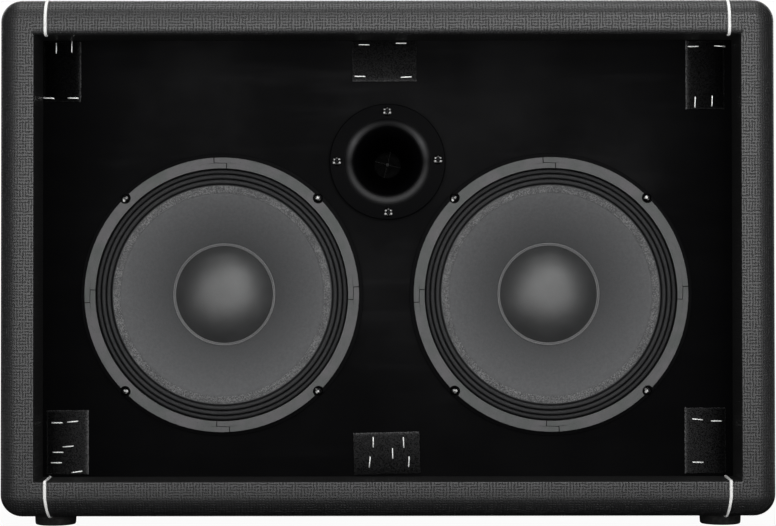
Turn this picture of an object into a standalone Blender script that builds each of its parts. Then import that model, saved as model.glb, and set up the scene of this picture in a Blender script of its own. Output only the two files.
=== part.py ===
"""Bass speaker cabinet: two ten-inch woofers and a round horn in a vinyl-covered plywood box.

Metres, +Z up. X runs to the right seen from the front, and the front faces -Y. The origin lies on
the floor under the middle of the box. The cloth grille is off, so the hook tape that holds it and
the speakers show in the recess.
"""

import math

import bmesh
import bpy
from mathutils import Vector, geometry

# Box, measured over its vinyl covering
BOX_WIDTH = 0.708
BOX_HEIGHT = 0.472
BOX_DEPTH = 0.400
CORNER_RADIUS = 0.020
FRONT_RADIUS = 0.019
BACK_RADIUS = 0.010
RECESS_DEPTH = 0.056
BACK_INSET = 0.016

# Sheet goods and joints
VINYL = 0.0009
PLY = 0.018
BAFFLE_PLY = 0.018
BACK_PLY = 0.015
FRAME_STRIP = 0.012
RABBET = 0.008
FIT = 0.0003
BACK_CLEARANCE = 0.0006

# White piping on the vinyl's seams
PIPING_WIDTH = 0.0036
PIPING_PROUD = 0.0012
PIPING_INSET = 0.043
PIPING_BAFFLE_GAP = 0.008
PIPING_END_GAP = 0.001

# Rubber feet
FOOT_RADIUS = 0.019
FOOT_HEIGHT = 0.010
FOOT_TAPER = 0.0010
FOOT_EDGE = 0.0010
FOOT_SCREW_RADIUS = 0.0055
FOOT_SCREW_DEPTH = 0.0055
FOOT_SIDE_INSET = 0.046
FOOT_END_INSET = 0.048

# Hook tape on the baffle, cut and placed by hand. Each piece has its side, its end, its width and
# height, its gap to the recess's side wall (from the middle for a centre piece) and to its end wall,
# and its turn.
HOOK_TAPES = {
    "top_left_hook_tape": (-1, 1, 0.0350, 0.0570, 0.0006, 0.0005, 0.0),
    "top_centre_hook_tape": (0, 1, 0.0608, 0.0380, -0.0029, 0.0005, 0.0),
    "top_right_hook_tape": (1, 1, 0.0365, 0.0643, 0.0066, 0.0005, 0.0),
    "bottom_left_hook_tape": (-1, -1, 0.0393, 0.0599, 0.0036, 0.0023, 0.0),
    "bottom_centre_hook_tape": (0, -1, 0.0620, 0.0392, -0.0010, 0.0020, math.radians(-1.4)),
    "bottom_right_hook_tape": (1, -1, 0.0384, 0.0617, 0.0066, 0.0023, 0.0),
}
TAPE_THICKNESS = 0.0025

# Where the speakers sit on the baffle. Shares divide the width and the height that they leave spare
# in the recess: the one between the woofers, and the one under them. The horn clears both woofers.
WOOFER_MIDDLE_SHARE = 0.3705
WOOFER_BOTTOM_SHARE = 0.6435
WOOFER_SHIFT = -0.0012
HORN_WOOFER_GAP = 0.0104

# Woofer: pressed steel frame
FRAME_RADIUS = 0.1315
FRAME_SHEET = 0.0015
FRAME_WALL = 0.0016
FRAME_COLLAR = 0.010
WALL_UNDER_GASKET = 0.0017
HOLE_CLEARANCE = 0.0014
SHOULDER_DEPTH = 0.0264
SHOULDER_STEP = 0.0042
LEDGE_DEPTH = 0.0624
LEDGE_RADIUS = 0.079
LEDGE_WIDTH = 0.0115
SEAT_STEP = 0.0086
SEAT_TAPER = 0.002
WINDOW_COUNT = 6
WINDOW_WIDTH = 0.056
WINDOW_EDGE = 0.005

# Woofer: gasket and mounting screws
GASKET_INSET = 0.0033
GASKET_WIDTH = 0.0105
GASKET_HEIGHT = 0.0044
GASKET_FOOT = 0.0068
NOTCH_RADIUS = 0.0052
SCREW_INSET = 0.0043
SCREW_HEAD_RADIUS = 0.0040
SCREW_HEAD_HEIGHT = 0.0026
SCREW_HEAD_SIDE = 0.0008
SCREW_CROWN_RADIUS = 0.0024
SCREW_SHANK_RADIUS = 0.0022
SCREW_LENGTH = 0.016
SCREW_CLEARANCE = 0.0004

# Woofer: surround, cone and dust cap
ROLL_COUNT = 3
ROLL_PITCH = 0.00466
ROLL_HEIGHT = 0.0043
ROLL_CREST = 0.45
ROLL_TROUGH = 0.95
ROLL_MARGIN = 0.0004
SURROUND_SHEET = 0.0007
SURROUND_RIM = 0.0038
FLAP_WIDTH = 0.007
FLAP_MARGIN = 0.0015
CONE_SHEET = 0.0010
CONE_DEPTH = 0.038
CONE_CURVE = 1.2
CONE_PARTS = 3
CAP_RADIUS = 0.0455
CAP_RISE = 0.0175
CAP_SHEET = 0.0008
CAP_FLANGE = 0.0025
CAP_PARTS = 4

# Woofer: voice coil, spider and magnet
COIL_RADIUS = 0.0325
COIL_FORMER = 0.0006
COIL_WINDING = 0.0006
COIL_LENGTH = 0.016
COIL_OVERHANG = 0.003
COIL_CLEARANCE = 0.0006
SPIDER_SHEET = 0.0006
SPIDER_WAVES = 2
SPIDER_WAVE_HEIGHT = 0.003
SPIDER_COLLAR = 0.005
SPIDER_RIM = 0.0085
SPIDER_EDGE_GAP = 0.0008
PLATE_RADIUS = 0.060
PLATE_THICKNESS = 0.008
MAGNET_RADIUS = 0.078
MAGNET_BORE = 0.042
MAGNET_THICKNESS = 0.020
YOKE_RADIUS = 0.066
YOKE_THICKNESS = 0.008
VENT_RADIUS = 0.009

# Horn and its compression driver
HORN_FLANGE_RADIUS = 0.054
HORN_FLANGE = 0.004
HORN_FLANGE_EDGE = 0.001
HORN_LIP_RADIUS = 0.036
HORN_LIP_HALF = 0.0035
HORN_LIP_RISE = 0.0028
HORN_LIP_SHOULDER = 0.0021
HORN_LIP_SHOULDER_RISE = 0.0022
HORN_THROAT_RADIUS = 0.0127
HORN_DEPTH = 0.058
HORN_WALL = 0.003
HORN_CURVE = 1.7
FLARE_PARTS = 4
HORN_BOLT_FLANGE_RADIUS = 0.030
HORN_BOLT_FLANGE = 0.005
DRIVER_NECK_RADIUS = 0.032
DRIVER_NECK = 0.007
DRIVER_RADIUS = 0.044
DRIVER_LENGTH = 0.040
DRIVER_EDGE = 0.004
DRIVER_BORE_DEPTH = 0.008

# Jack plate on the back
JACK_PLATE_WIDTH = 0.140
JACK_PLATE_HEIGHT = 0.090
JACK_PLATE_SHEET = 0.002
JACK_PLATE_RADIUS = 0.006
JACK_PLATE_LAP = 0.014
JACK_PLATE_RISE = 0.020
JACK_PITCH = 0.034
INPUT_JACK_OFFSET = -0.042
ATTENUATOR_OFFSET = 0.034
JACK_BUSH_RADIUS = 0.0057
JACK_NUT_RADIUS = 0.0080
JACK_NUT = 0.0028
JACK_BODY_RADIUS = 0.0115
JACK_BODY_END = 0.0015
SOCKET_RADIUS = 0.0033
SOCKET_DEPTH = 0.029
POT_RADIUS = 0.018
POT_LENGTH = 0.022
POT_BUSH_RADIUS = 0.0047
POT_NUT_RADIUS = 0.0070
POT_NUT = 0.0024
SHAFT_RADIUS = 0.0030
SHAFT_INSERT = 0.014
KNOB_RADIUS = 0.0100
KNOB_TAPER = 0.0012
KNOB_HEIGHT = 0.0095
KNOB_EDGE = 0.0010
KNOB_LIFT = 0.0005
KNOB_BORE_DEPTH = 0.0065
KNOB_POINTER_WIDTH = 0.0012
KNOB_POINTER_DEPTH = 0.0006

# Recessed bar handles in the sides
HANDLE_LENGTH = 0.190
HANDLE_HEIGHT = 0.112
HANDLE_FLANGE = 0.0025
HANDLE_RADIUS = 0.012
CUP_LENGTH = 0.160
CUP_HEIGHT = 0.084
CUP_DEPTH = 0.058
CUP_WALL = 0.003
CUP_CLEARANCE = 0.0008
BAR_HEIGHT = 0.026
BAR_THICKNESS = 0.016
BAR_INSET = 0.002
BAR_RADIUS = 0.006
HANDLE_RISE = 0.030

# Crossover board and its lead
BOARD_WIDTH = 0.130
BOARD_DEPTH = 0.090
BOARD_SHEET = 0.002
BOARD_STANDOFF = 0.006
STANDOFF_RADIUS = 0.0035
STANDOFF_INSET = 0.008
BOARD_BACK_GAP = 0.030
COIL_LARGE_RADIUS = 0.022
COIL_LARGE_HEIGHT = 0.024
COIL_SMALL_RADIUS = 0.015
COIL_SMALL_HEIGHT = 0.018
CAPACITOR_RADIUS = 0.010
CAPACITOR_LENGTH = 0.034
CAPACITOR_SINK = 0.002
PARTS_OFFSET = 0.018
TERMINAL_WIDTH = 0.024
TERMINAL_DEPTH = 0.012
TERMINAL_HEIGHT = 0.014
LEAD_RADIUS = 0.003
LEAD_STRAIGHT = 0.012
LEAD_POINTS = 13

# How finely round shapes are divided
SPEAKER_STEPS = 32
MOTOR_STEPS = 24
SMALL_STEPS = 16
SCREW_STEPS = 10
CORNER_STEPS = 5
EDGE_STEPS = 4
MERGE = 0.00005
REACH = 0.010

FACING_FRONT = (math.radians(90), 0, 0)
FACING_BACK = (math.radians(-90), 0, 0)

# Places that follow from the sizes above
SKIN = VINYL + FIT
MIDDLE = FOOT_HEIGHT + BOX_HEIGHT / 2
FRONT = -BOX_DEPTH / 2
BACK = BOX_DEPTH / 2
BAFFLE_FRONT = FRONT + RECESS_DEPTH
BACK_PANEL_OUTSIDE = BACK - BACK_INSET
INSIDE_X = BOX_WIDTH / 2 - SKIN - PLY
INSIDE_Z = BOX_HEIGHT / 2 - SKIN - PLY
OPENING_X = INSIDE_X - FIT - FRAME_STRIP - SKIN
OPENING_Z = INSIDE_Z - FIT - FRAME_STRIP - SKIN
BACK_OPENING_X = INSIDE_X + RABBET - SKIN
BACK_OPENING_Z = INSIDE_Z + RABBET - SKIN
SPARE_WIDTH = 2 * OPENING_X - 4 * FRAME_RADIUS
WOOFER_REACH = FRAME_RADIUS + WOOFER_MIDDLE_SHARE * SPARE_WIDTH / 2
LEFT_WOOFER_X = WOOFER_SHIFT - WOOFER_REACH
RIGHT_WOOFER_X = WOOFER_SHIFT + WOOFER_REACH
HORN_DISTANCE = FRAME_RADIUS + HORN_FLANGE_RADIUS + HORN_WOOFER_GAP
HORN_ABOVE_WOOFERS = math.sqrt(HORN_DISTANCE**2 - (WOOFER_REACH - abs(WOOFER_SHIFT)) ** 2)
_, _, _, TOP_TAPE_HEIGHT, _, TOP_TAPE_GAP, _ = HOOK_TAPES["top_centre_hook_tape"]
SPEAKERS_HEIGHT = FRAME_RADIUS + HORN_ABOVE_WOOFERS + HORN_FLANGE_RADIUS
SPARE_HEIGHT = 2 * OPENING_Z - TOP_TAPE_HEIGHT - TOP_TAPE_GAP - SPEAKERS_HEIGHT
WOOFER_Z = MIDDLE - OPENING_Z + WOOFER_BOTTOM_SHARE * SPARE_HEIGHT + FRAME_RADIUS
HORN_Z = WOOFER_Z + HORN_ABOVE_WOOFERS
JACK_PLATE_Z = MIDDLE + JACK_PLATE_RISE
HANDLE_Z = MIDDLE + HANDLE_RISE

for old in list(bpy.data.objects):
    bpy.data.objects.remove(old)

cabinet = bpy.data.collections.new("bass_speaker_cabinet")
cutters = bpy.data.collections.new("cutters")
bpy.context.scene.collection.children.link(cabinet)
bpy.context.scene.collection.children.link(cutters)


def material(name, colour, roughness, metallic=0.0):
    """A Principled material of one colour."""
    made = bpy.data.materials.new(name)
    made.use_nodes = True
    shader = made.node_tree.nodes["Principled BSDF"]
    shader.inputs["Base Color"].default_value = (*colour, 1.0)
    shader.inputs["Roughness"].default_value = roughness
    shader.inputs["Metallic"].default_value = metallic
    made.diffuse_color = (*colour, 1.0)
    return made


PLYWOOD = material("birch_plywood", (0.62, 0.46, 0.29), 0.7)
BLACK_PAINT = material("black_paint", (0.008, 0.008, 0.009), 0.6)
BLACK_VINYL = material("black_vinyl", (0.045, 0.046, 0.048), 0.55)
WHITE_PIPING = material("white_piping", (0.85, 0.85, 0.84), 0.4)
FOOT_RUBBER = material("foot_rubber", (0.015, 0.015, 0.015), 0.75)
HOOK_TAPE = material("hook_tape", (0.012, 0.012, 0.013), 0.95)
BASKET_STEEL = material("black_steel", (0.012, 0.012, 0.013), 0.45, 0.6)
GREY_GASKET = material("grey_gasket", (0.13, 0.135, 0.14), 0.85)
SURROUND_CLOTH = material("surround_cloth", (0.05, 0.052, 0.054), 0.6)
CONE_PAPER = material("cone_paper", (0.095, 0.1, 0.105), 0.85)
CAP_PAPER = material("cap_paper", (0.09, 0.095, 0.1), 0.6)
SPIDER_CLOTH = material("spider_cloth", (0.55, 0.42, 0.2), 0.9)
COIL_COPPER = material("coil_copper", (0.72, 0.33, 0.16), 0.35, 1.0)
FERRITE = material("ferrite", (0.05, 0.05, 0.052), 0.6)
PLATED_STEEL = material("plated_steel", (0.55, 0.55, 0.52), 0.35, 1.0)
SCREW_STEEL = material("black_screw", (0.03, 0.03, 0.032), 0.35, 0.9)
HORN_PLASTIC = material("horn_plastic", (0.012, 0.012, 0.013), 0.4)
DRIVER_METAL = material("driver_metal", (0.06, 0.06, 0.065), 0.45, 0.7)
PLATE_STEEL = material("black_plate", (0.02, 0.02, 0.021), 0.4, 0.5)
NICKEL = material("nickel", (0.6, 0.59, 0.56), 0.25, 1.0)
KNOB_PLASTIC = material("knob_plastic", (0.015, 0.015, 0.015), 0.4)
HANDLE_PLASTIC = material("handle_plastic", (0.02, 0.02, 0.021), 0.55)
BOARD_GREEN = material("board_green", (0.03, 0.14, 0.06), 0.5)
LEAD_SLEEVE = material("lead_sleeve", (0.02, 0.02, 0.02), 0.6)


def placed(name, mesh, finish, location=(0, 0, 0), rotation=(0, 0, 0), parent=None):
    """One sub-part of the cabinet."""
    made = bpy.data.objects.new(name, mesh)
    made.location = location
    made.rotation_euler = rotation
    made.parent = parent
    mesh.materials.clear()
    mesh.materials.append(finish)
    cabinet.objects.link(made)
    return made


def tool(name, mesh, location=(0, 0, 0), rotation=(0, 0, 0)):
    """A shape that only cuts or joins, so it is drawn as wire and never rendered."""
    made = bpy.data.objects.new(name, mesh)
    made.location = location
    made.rotation_euler = rotation
    made.display_type = "WIRE"
    made.hide_render = True
    cutters.objects.link(made)
    return made


def combine(target, operation, *tools):
    """Adds one Boolean modifier to the target for each tool."""
    for other in tools:
        boolean = target.modifiers.new(other.name, "BOOLEAN")
        boolean.operation = operation
        boolean.object = other
    return target


def block(size, turn_radius=0.0, turn_axis=1, steps=3):
    """A box mesh round its own middle, with its four edges along one axis rounded."""
    shape = bmesh.new()
    bmesh.ops.create_cube(shape, size=1.0)
    bmesh.ops.scale(shape, vec=Vector(size), verts=shape.verts)
    if turn_radius:
        round_edges(shape, edges_along(shape, turn_axis), turn_radius, steps)
    mesh = bpy.data.meshes.new("block")
    shape.to_mesh(mesh)
    shape.free()
    return mesh


def edges_along(shape, axis):
    """The edges of a box that run along one axis."""
    return [
        edge
        for edge in shape.edges
        if abs((edge.verts[0].co - edge.verts[1].co).normalized()[axis]) > 0.99
    ]


def round_edges(shape, edges, radius, steps):
    bmesh.ops.bevel(
        shape, geom=edges, offset=radius, offset_type="OFFSET", segments=steps, profile=0.5, affect="EDGES"
    )


def box_body(inset):
    """The box's outer form, set in all round: rounded front to back, then round the front and the back."""
    size = Vector((BOX_WIDTH, BOX_DEPTH, BOX_HEIGHT)) - Vector((2 * inset,) * 3)
    shape = bmesh.new()
    bmesh.ops.create_cube(shape, size=1.0)
    bmesh.ops.scale(shape, vec=size, verts=shape.verts)
    round_edges(shape, edges_along(shape, 1), CORNER_RADIUS - inset, CORNER_STEPS)
    for end, radius in ((-1, FRONT_RADIUS), (1, BACK_RADIUS)):
        face_y = end * size.y / 2
        rim = [e for e in shape.edges if all(abs(v.co.y - face_y) < MERGE for v in e.verts)]
        round_edges(shape, rim, radius - inset, EDGE_STEPS)
    mesh = bpy.data.meshes.new("box_body")
    shape.to_mesh(mesh)
    shape.free()
    return mesh


def turned(profile, steps, closed=True):
    """A mesh turned about Z from (radius, height) points that run down its outer side.

    A closed profile makes a ring. An open one starts and ends on the axis.
    """
    guide_mesh = bpy.data.meshes.new("profile")
    links = [(i, i + 1) for i in range(len(profile) - 1)]
    if closed:
        links.append((len(profile) - 1, 0))
    guide_mesh.from_pydata([(radius, 0.0, height) for radius, height in profile], links, [])
    guide = bpy.data.objects.new("profile", guide_mesh)
    cutters.objects.link(guide)
    screw = guide.modifiers.new("turn", "SCREW")
    screw.steps = steps
    screw.render_steps = steps
    screw.use_merge_vertices = True
    screw.merge_threshold = MERGE
    graph = bpy.context.evaluated_depsgraph_get()
    mesh = bpy.data.meshes.new_from_object(guide.evaluated_get(graph))
    bpy.data.objects.remove(guide)
    mesh.shade_smooth()
    mesh.set_sharp_from_angle(angle=math.radians(35))
    return mesh


def ring(outer, inner, top, bottom, steps):
    """A plain turned ring."""
    return turned([(outer, top), (outer, bottom), (inner, bottom), (inner, top)], steps)


def rod(radius, top, bottom, steps):
    """A plain turned rod."""
    return turned([(0, top), (radius, top), (radius, bottom), (0, bottom)], steps, closed=False)


def sheet_profile(line, thickness):
    """A closed profile for a formed sheet: the line of (radius, height) points, from the rim inwards."""
    under = [(radius, height - thickness) for radius, height in line]
    return under + line[::-1]


def rounded_path(corners, radii, steps=4):
    """Points along a line of corners, each rounded to its radius. The two ends stay where they are."""
    points = [Vector(corners[0])]
    for before, corner, after, radius in zip(corners, corners[1:], corners[2:], radii):
        corner = Vector(corner)
        back = (Vector(before) - corner).normalized()
        ahead = (Vector(after) - corner).normalized()
        centre = corner + (back + ahead) * radius
        for step in range(steps + 1):
            turn = math.radians(90) * step / steps
            points.append(centre - ahead * radius * math.cos(turn) - back * radius * math.sin(turn))
    points.append(Vector(corners[-1]))
    return points


# Plywood shell: sides run the full height, and top and bottom sit in rabbets cut in the sides

envelope = tool("shell_envelope", box_body(SKIN), (0, 0, MIDDLE))
back_seat_depth = BACK_INSET + BACK_PLY + FIT + REACH
back_seat = tool(
    "back_seat",
    block((2 * (INSIDE_X + RABBET), back_seat_depth, 2 * (INSIDE_Z + RABBET))),
    (0, BACK + REACH - back_seat_depth / 2, MIDDLE),
)


def level_panel(name, side):
    """Top or bottom panel, which reaches into the sides' rabbets."""
    height = PLY + REACH
    panel = placed(
        name,
        block((2 * (INSIDE_X + RABBET - FIT), BOX_DEPTH + REACH, height)),
        PLYWOOD,
        (0, 0, MIDDLE + side * (INSIDE_Z + height / 2)),
    )
    combine(panel, "INTERSECT", envelope)
    combine(panel, "DIFFERENCE", back_seat)


level_panel("top_panel", 1)
level_panel("bottom_panel", -1)

handle_hole = block(
    (2 * CUP_DEPTH, CUP_LENGTH + 2 * CUP_CLEARANCE, CUP_HEIGHT + 2 * CUP_CLEARANCE),
    HANDLE_RADIUS,
    turn_axis=0,
)
handle_holes = {
    side: tool(f"{name}_handle_hole", handle_hole, (side * BOX_WIDTH / 2, 0, HANDLE_Z))
    for name, side in (("left", -1), ("right", 1))
}


def upright_panel(name, side):
    """Left or right side panel, with rabbets for the top and bottom and a hole for the handle."""
    width = PLY + REACH
    panel = placed(
        name,
        block((width, BOX_DEPTH + REACH, BOX_HEIGHT + REACH)),
        PLYWOOD,
        (side * (INSIDE_X + width / 2), 0, MIDDLE),
    )
    combine(panel, "INTERSECT", envelope)
    for end_name, end in (("top", 1), ("bottom", -1)):
        height = PLY + FIT + REACH
        rabbet = tool(
            f"{name}_{end_name}_rabbet",
            block((2 * RABBET, BOX_DEPTH + 2 * REACH, height)),
            (side * INSIDE_X, 0, MIDDLE + end * (INSIDE_Z - FIT + height / 2)),
        )
        combine(panel, "DIFFERENCE", rabbet)
    combine(panel, "DIFFERENCE", back_seat, handle_holes[side])


upright_panel("left_side_panel", -1)
upright_panel("right_side_panel", 1)

# Front frame: four strips glued as one ring inside the panels, which widen the lip

frame_length = BAFFLE_FRONT - FIT - (FRONT + SKIN)
front_frame = placed(
    "front_frame",
    block((2 * (INSIDE_X - FIT), frame_length, 2 * (INSIDE_Z - FIT))),
    PLYWOOD,
    (0, FRONT + SKIN + frame_length / 2, MIDDLE),
)
front_frame_hole = tool(
    "front_frame_hole",
    block((2 * (OPENING_X + SKIN), frame_length + REACH, 2 * (OPENING_Z + SKIN))),
    front_frame.location,
)
combine(front_frame, "DIFFERENCE", front_frame_hole)

# Baffle board, with holes for the three speakers

GASKET_OUTER = FRAME_RADIUS - GASKET_INSET
GASKET_INNER = GASKET_OUTER - GASKET_WIDTH
WALL_INNER = GASKET_INNER - WALL_UNDER_GASKET
WALL_OUTER = WALL_INNER + FRAME_WALL
HORN_MOUTH_RADIUS = HORN_LIP_RADIUS + HORN_LIP_HALF

baffle = placed(
    "baffle_board",
    block((2 * (INSIDE_X - FIT), BAFFLE_PLY, 2 * (INSIDE_Z - FIT))),
    BLACK_PAINT,
    (0, BAFFLE_FRONT + BAFFLE_PLY / 2, MIDDLE),
)
woofer_hole = rod(WALL_OUTER + HOLE_CLEARANCE, BAFFLE_PLY, -BAFFLE_PLY, SPEAKER_STEPS)
horn_hole = rod(HORN_MOUTH_RADIUS + HOLE_CLEARANCE, BAFFLE_PLY, -BAFFLE_PLY, MOTOR_STEPS)
combine(
    baffle,
    "DIFFERENCE",
    tool("left_woofer_hole", woofer_hole, (LEFT_WOOFER_X, baffle.location.y, WOOFER_Z), FACING_FRONT),
    tool("right_woofer_hole", woofer_hole, (RIGHT_WOOFER_X, baffle.location.y, WOOFER_Z), FACING_FRONT),
    tool("horn_hole", horn_hole, (0, baffle.location.y, HORN_Z), FACING_FRONT),
)

# Back panel, screwed against the shoulder of the rabbet

back_panel = placed(
    "back_panel",
    block((2 * (BACK_OPENING_X - BACK_CLEARANCE), BACK_PLY, 2 * (BACK_OPENING_Z - BACK_CLEARANCE))),
    BLACK_VINYL,
    (0, BACK_PANEL_OUTSIDE - BACK_PLY / 2, MIDDLE),
)
window_width = JACK_PLATE_WIDTH - 2 * JACK_PLATE_LAP
window_height = JACK_PLATE_HEIGHT - 2 * JACK_PLATE_LAP
plate_window = tool(
    "plate_window",
    block((window_width, BACK_PLY + REACH, window_height)),
    (0, back_panel.location.y, JACK_PLATE_Z),
)
combine(back_panel, "DIFFERENCE", plate_window)

# Vinyl covering: a skin over the shell that turns in at the front recess and at the back

vinyl = placed("vinyl_covering", box_body(0), BLACK_VINYL, (0, 0, MIDDLE))
combine(vinyl, "DIFFERENCE", tool("vinyl_inside", box_body(VINYL), (0, 0, MIDDLE)))


def lining(name, half_x, half_z, start, end):
    """A block that lines an opening of the box, and the block that then opens it up."""
    sleeve = tool(
        f"{name}_sleeve",
        block((2 * (half_x + VINYL), end - start, 2 * (half_z + VINYL))),
        (0, (start + end) / 2, MIDDLE),
    )
    hollow = tool(
        f"{name}_hollow",
        block((2 * half_x, end - start + 2 * REACH, 2 * half_z)),
        (0, (start + end) / 2, MIDDLE),
    )
    return sleeve, hollow


front_sleeve, front_hollow = lining(
    "front", OPENING_X, OPENING_Z, FRONT + VINYL / 2, BAFFLE_FRONT - FIT
)
back_sleeve, back_hollow = lining(
    "back", BACK_OPENING_X, BACK_OPENING_Z, BACK_PANEL_OUTSIDE + FIT, BACK - VINYL / 2
)
combine(vinyl, "UNION", front_sleeve, back_sleeve)
combine(vinyl, "DIFFERENCE", front_hollow, back_hollow, *handle_holes.values())

# White piping on the vinyl's four seams, over the lip and along the top or bottom


def piping_line(proud, on_top):
    """The piping's side view, (y, height from the box's middle), at a height over the vinyl."""
    corners = [
        (BAFFLE_FRONT - PIPING_BAFFLE_GAP, OPENING_Z - proud),
        (FRONT - proud, OPENING_Z - proud),
        (FRONT - proud, BOX_HEIGHT / 2 + proud),
    ]
    radii = [proud, FRONT_RADIUS + proud]
    if on_top:
        corners += [
            (BACK + proud, BOX_HEIGHT / 2 + proud),
            (BACK + proud, BACK_OPENING_Z - proud),
            (BACK_PANEL_OUTSIDE + PIPING_END_GAP, BACK_OPENING_Z - proud),
        ]
        radii += [BACK_RADIUS + proud, proud]
    else:
        foot_front = FRONT + FOOT_END_INSET - FOOT_RADIUS
        corners.append((foot_front - PIPING_END_GAP, BOX_HEIGHT / 2 + proud))
    return rounded_path(corners, radii)


def piping(name, side, on_top):
    """One strip of piping: its side view as a flat outline, as thick as the piping is wide."""
    outline = piping_line(FIT + PIPING_PROUD, on_top) + piping_line(FIT, on_top)[::-1]
    upright = 1 if on_top else -1
    curve = bpy.data.curves.new(name, "CURVE")
    curve.dimensions = "2D"
    curve.fill_mode = "BOTH"
    curve.extrude = PIPING_WIDTH / 2
    spline = curve.splines.new("POLY")
    spline.points.add(len(outline) - 1)
    spline.use_cyclic_u = True
    for point, (y, height) in zip(spline.points, outline):
        point.co = (y, upright * height, 0, 1)
    made = placed(name, curve, WHITE_PIPING, (side * (BOX_WIDTH / 2 - PIPING_INSET), 0, MIDDLE))
    made.rotation_euler = (math.radians(90), 0, math.radians(90))


piping("piping_top_left", -1, True)
piping("piping_top_right", 1, True)
piping("piping_bottom_left", -1, False)
piping("piping_bottom_right", 1, False)

# Rubber feet, each with a sunk hole for its screw

foot = turned(
    [
        (FOOT_RADIUS, FOOT_HEIGHT - FIT),
        (FOOT_RADIUS - FOOT_TAPER, FOOT_EDGE),
        (FOOT_RADIUS - FOOT_TAPER - FOOT_EDGE, 0),
        (FOOT_SCREW_RADIUS, 0),
        (FOOT_SCREW_RADIUS, FOOT_SCREW_DEPTH),
        (SCREW_SHANK_RADIUS, FOOT_SCREW_DEPTH),
        (SCREW_SHANK_RADIUS, FOOT_HEIGHT - FIT),
    ],
    SMALL_STEPS,
)
for depth_name, end in (("front", -1), ("rear", 1)):
    for side_name, side in (("left", -1), ("right", 1)):
        placed(
            f"{depth_name}_{side_name}_foot",
            foot,
            FOOT_RUBBER,
            (side * (BOX_WIDTH / 2 - FOOT_SIDE_INSET), end * (BOX_DEPTH / 2 - FOOT_END_INSET), 0),
        )

# Hook tape stapled to the baffle, which a grille's loop tape presses on

for tape_name, (side, end, width, height, side_gap, end_gap, turn) in HOOK_TAPES.items():
    x = side * (OPENING_X - side_gap - width / 2) if side else side_gap
    z = MIDDLE + end * (OPENING_Z - end_gap - height / 2)
    placed(
        tape_name,
        block((width, TAPE_THICKNESS, height)),
        HOOK_TAPE,
        (x, BAFFLE_FRONT - FIT - TAPE_THICKNESS / 2, z),
        (0, turn, 0),
    )

# Woofer parts. Heights are in front of the baffle's face, and negative ones lie behind it.

FLANGE_TOP = FIT + FRAME_SHEET
RIM_TOP = FLANGE_TOP + FIT + SURROUND_SHEET
ROLLS_OUTER = GASKET_INNER - ROLL_MARGIN
ROLLS_INNER = ROLLS_OUTER - ROLL_COUNT * ROLL_PITCH
CONE_RADIUS = ROLLS_INNER - FLAP_MARGIN
FLAP_INNER = CONE_RADIUS - FLAP_WIDTH
SLOPE_TOP = FLAP_INNER - FIT
FORMER_OUTER = COIL_RADIUS + COIL_FORMER
CONE_NECK = FORMER_OUTER + FIT
SEAT_DEPTH = LEDGE_DEPTH + SEAT_STEP
PLATE_BACK = SEAT_DEPTH + PLATE_THICKNESS
PLATE_BORE = FORMER_OUTER + COIL_WINDING + COIL_CLEARANCE
LEDGE_INNER = LEDGE_RADIUS - LEDGE_WIDTH
SCREW_CIRCLE = FRAME_RADIUS - SCREW_INSET
SCREW_TURNS = [math.radians(45 + 90 * quarter) for quarter in range(4)]


def basket_profile():
    """The pressed frame with its steel top plate, as one turned sheet."""
    seat_inner = LEDGE_INNER - SEAT_TAPER
    return [
        (FRAME_RADIUS, FLANGE_TOP),
        (FRAME_RADIUS, FIT),
        (WALL_OUTER, FIT),
        (WALL_OUTER, -FRAME_COLLAR),
        (WALL_OUTER - SHOULDER_STEP, -SHOULDER_DEPTH),
        (LEDGE_RADIUS + FRAME_WALL, -LEDGE_DEPTH - FRAME_WALL),
        (LEDGE_INNER + FRAME_WALL, -LEDGE_DEPTH - FRAME_WALL),
        (seat_inner + FRAME_WALL, -SEAT_DEPTH - FRAME_WALL),
        (PLATE_RADIUS, -SEAT_DEPTH - FRAME_WALL),
        (PLATE_RADIUS, -PLATE_BACK),
        (PLATE_BORE, -PLATE_BACK),
        (PLATE_BORE, -SEAT_DEPTH),
        (seat_inner, -SEAT_DEPTH),
        (LEDGE_INNER, -LEDGE_DEPTH),
        (LEDGE_RADIUS, -LEDGE_DEPTH),
        (WALL_INNER - SHOULDER_STEP, -SHOULDER_DEPTH),
        (WALL_INNER, -FRAME_COLLAR),
        (WALL_INNER, FLANGE_TOP),
    ]


def surround_line():
    """The surround's front face, from its glued rim in over the rolls to the flap on the cone."""
    middle = (RIM_TOP + FIT + SURROUND_SHEET) / 2
    line = [(ROLLS_OUTER + SURROUND_RIM, RIM_TOP), (ROLLS_OUTER, RIM_TOP)]
    for roll in range(ROLL_COUNT):
        crest = ROLLS_OUTER - (roll + ROLL_CREST) * ROLL_PITCH
        trough = ROLLS_OUTER - (roll + ROLL_TROUGH) * ROLL_PITCH
        line.append((crest, middle + ROLL_HEIGHT / 2))
        line.append((trough, middle - ROLL_HEIGHT / 2 + SURROUND_SHEET))
    line.append((CONE_RADIUS, FIT + SURROUND_SHEET))
    line.append((FLAP_INNER, FIT + SURROUND_SHEET))
    return line


def cone_height(radius):
    """Height of the cone's front: a slope that steepens towards the neck."""
    share = (radius - CONE_NECK) / (SLOPE_TOP - CONE_NECK)
    return -CONE_DEPTH * (1 - share) ** CONE_CURVE


def cone_line():
    """The cone's front face: a flat rim, then the slope down to the neck."""
    step = (SLOPE_TOP - CAP_RADIUS) / CONE_PARTS
    slope = [SLOPE_TOP - part * step for part in range(CONE_PARTS + 1)]
    return [(CONE_RADIUS, 0.0)] + [(radius, cone_height(radius)) for radius in slope + [CONE_NECK]]


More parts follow.
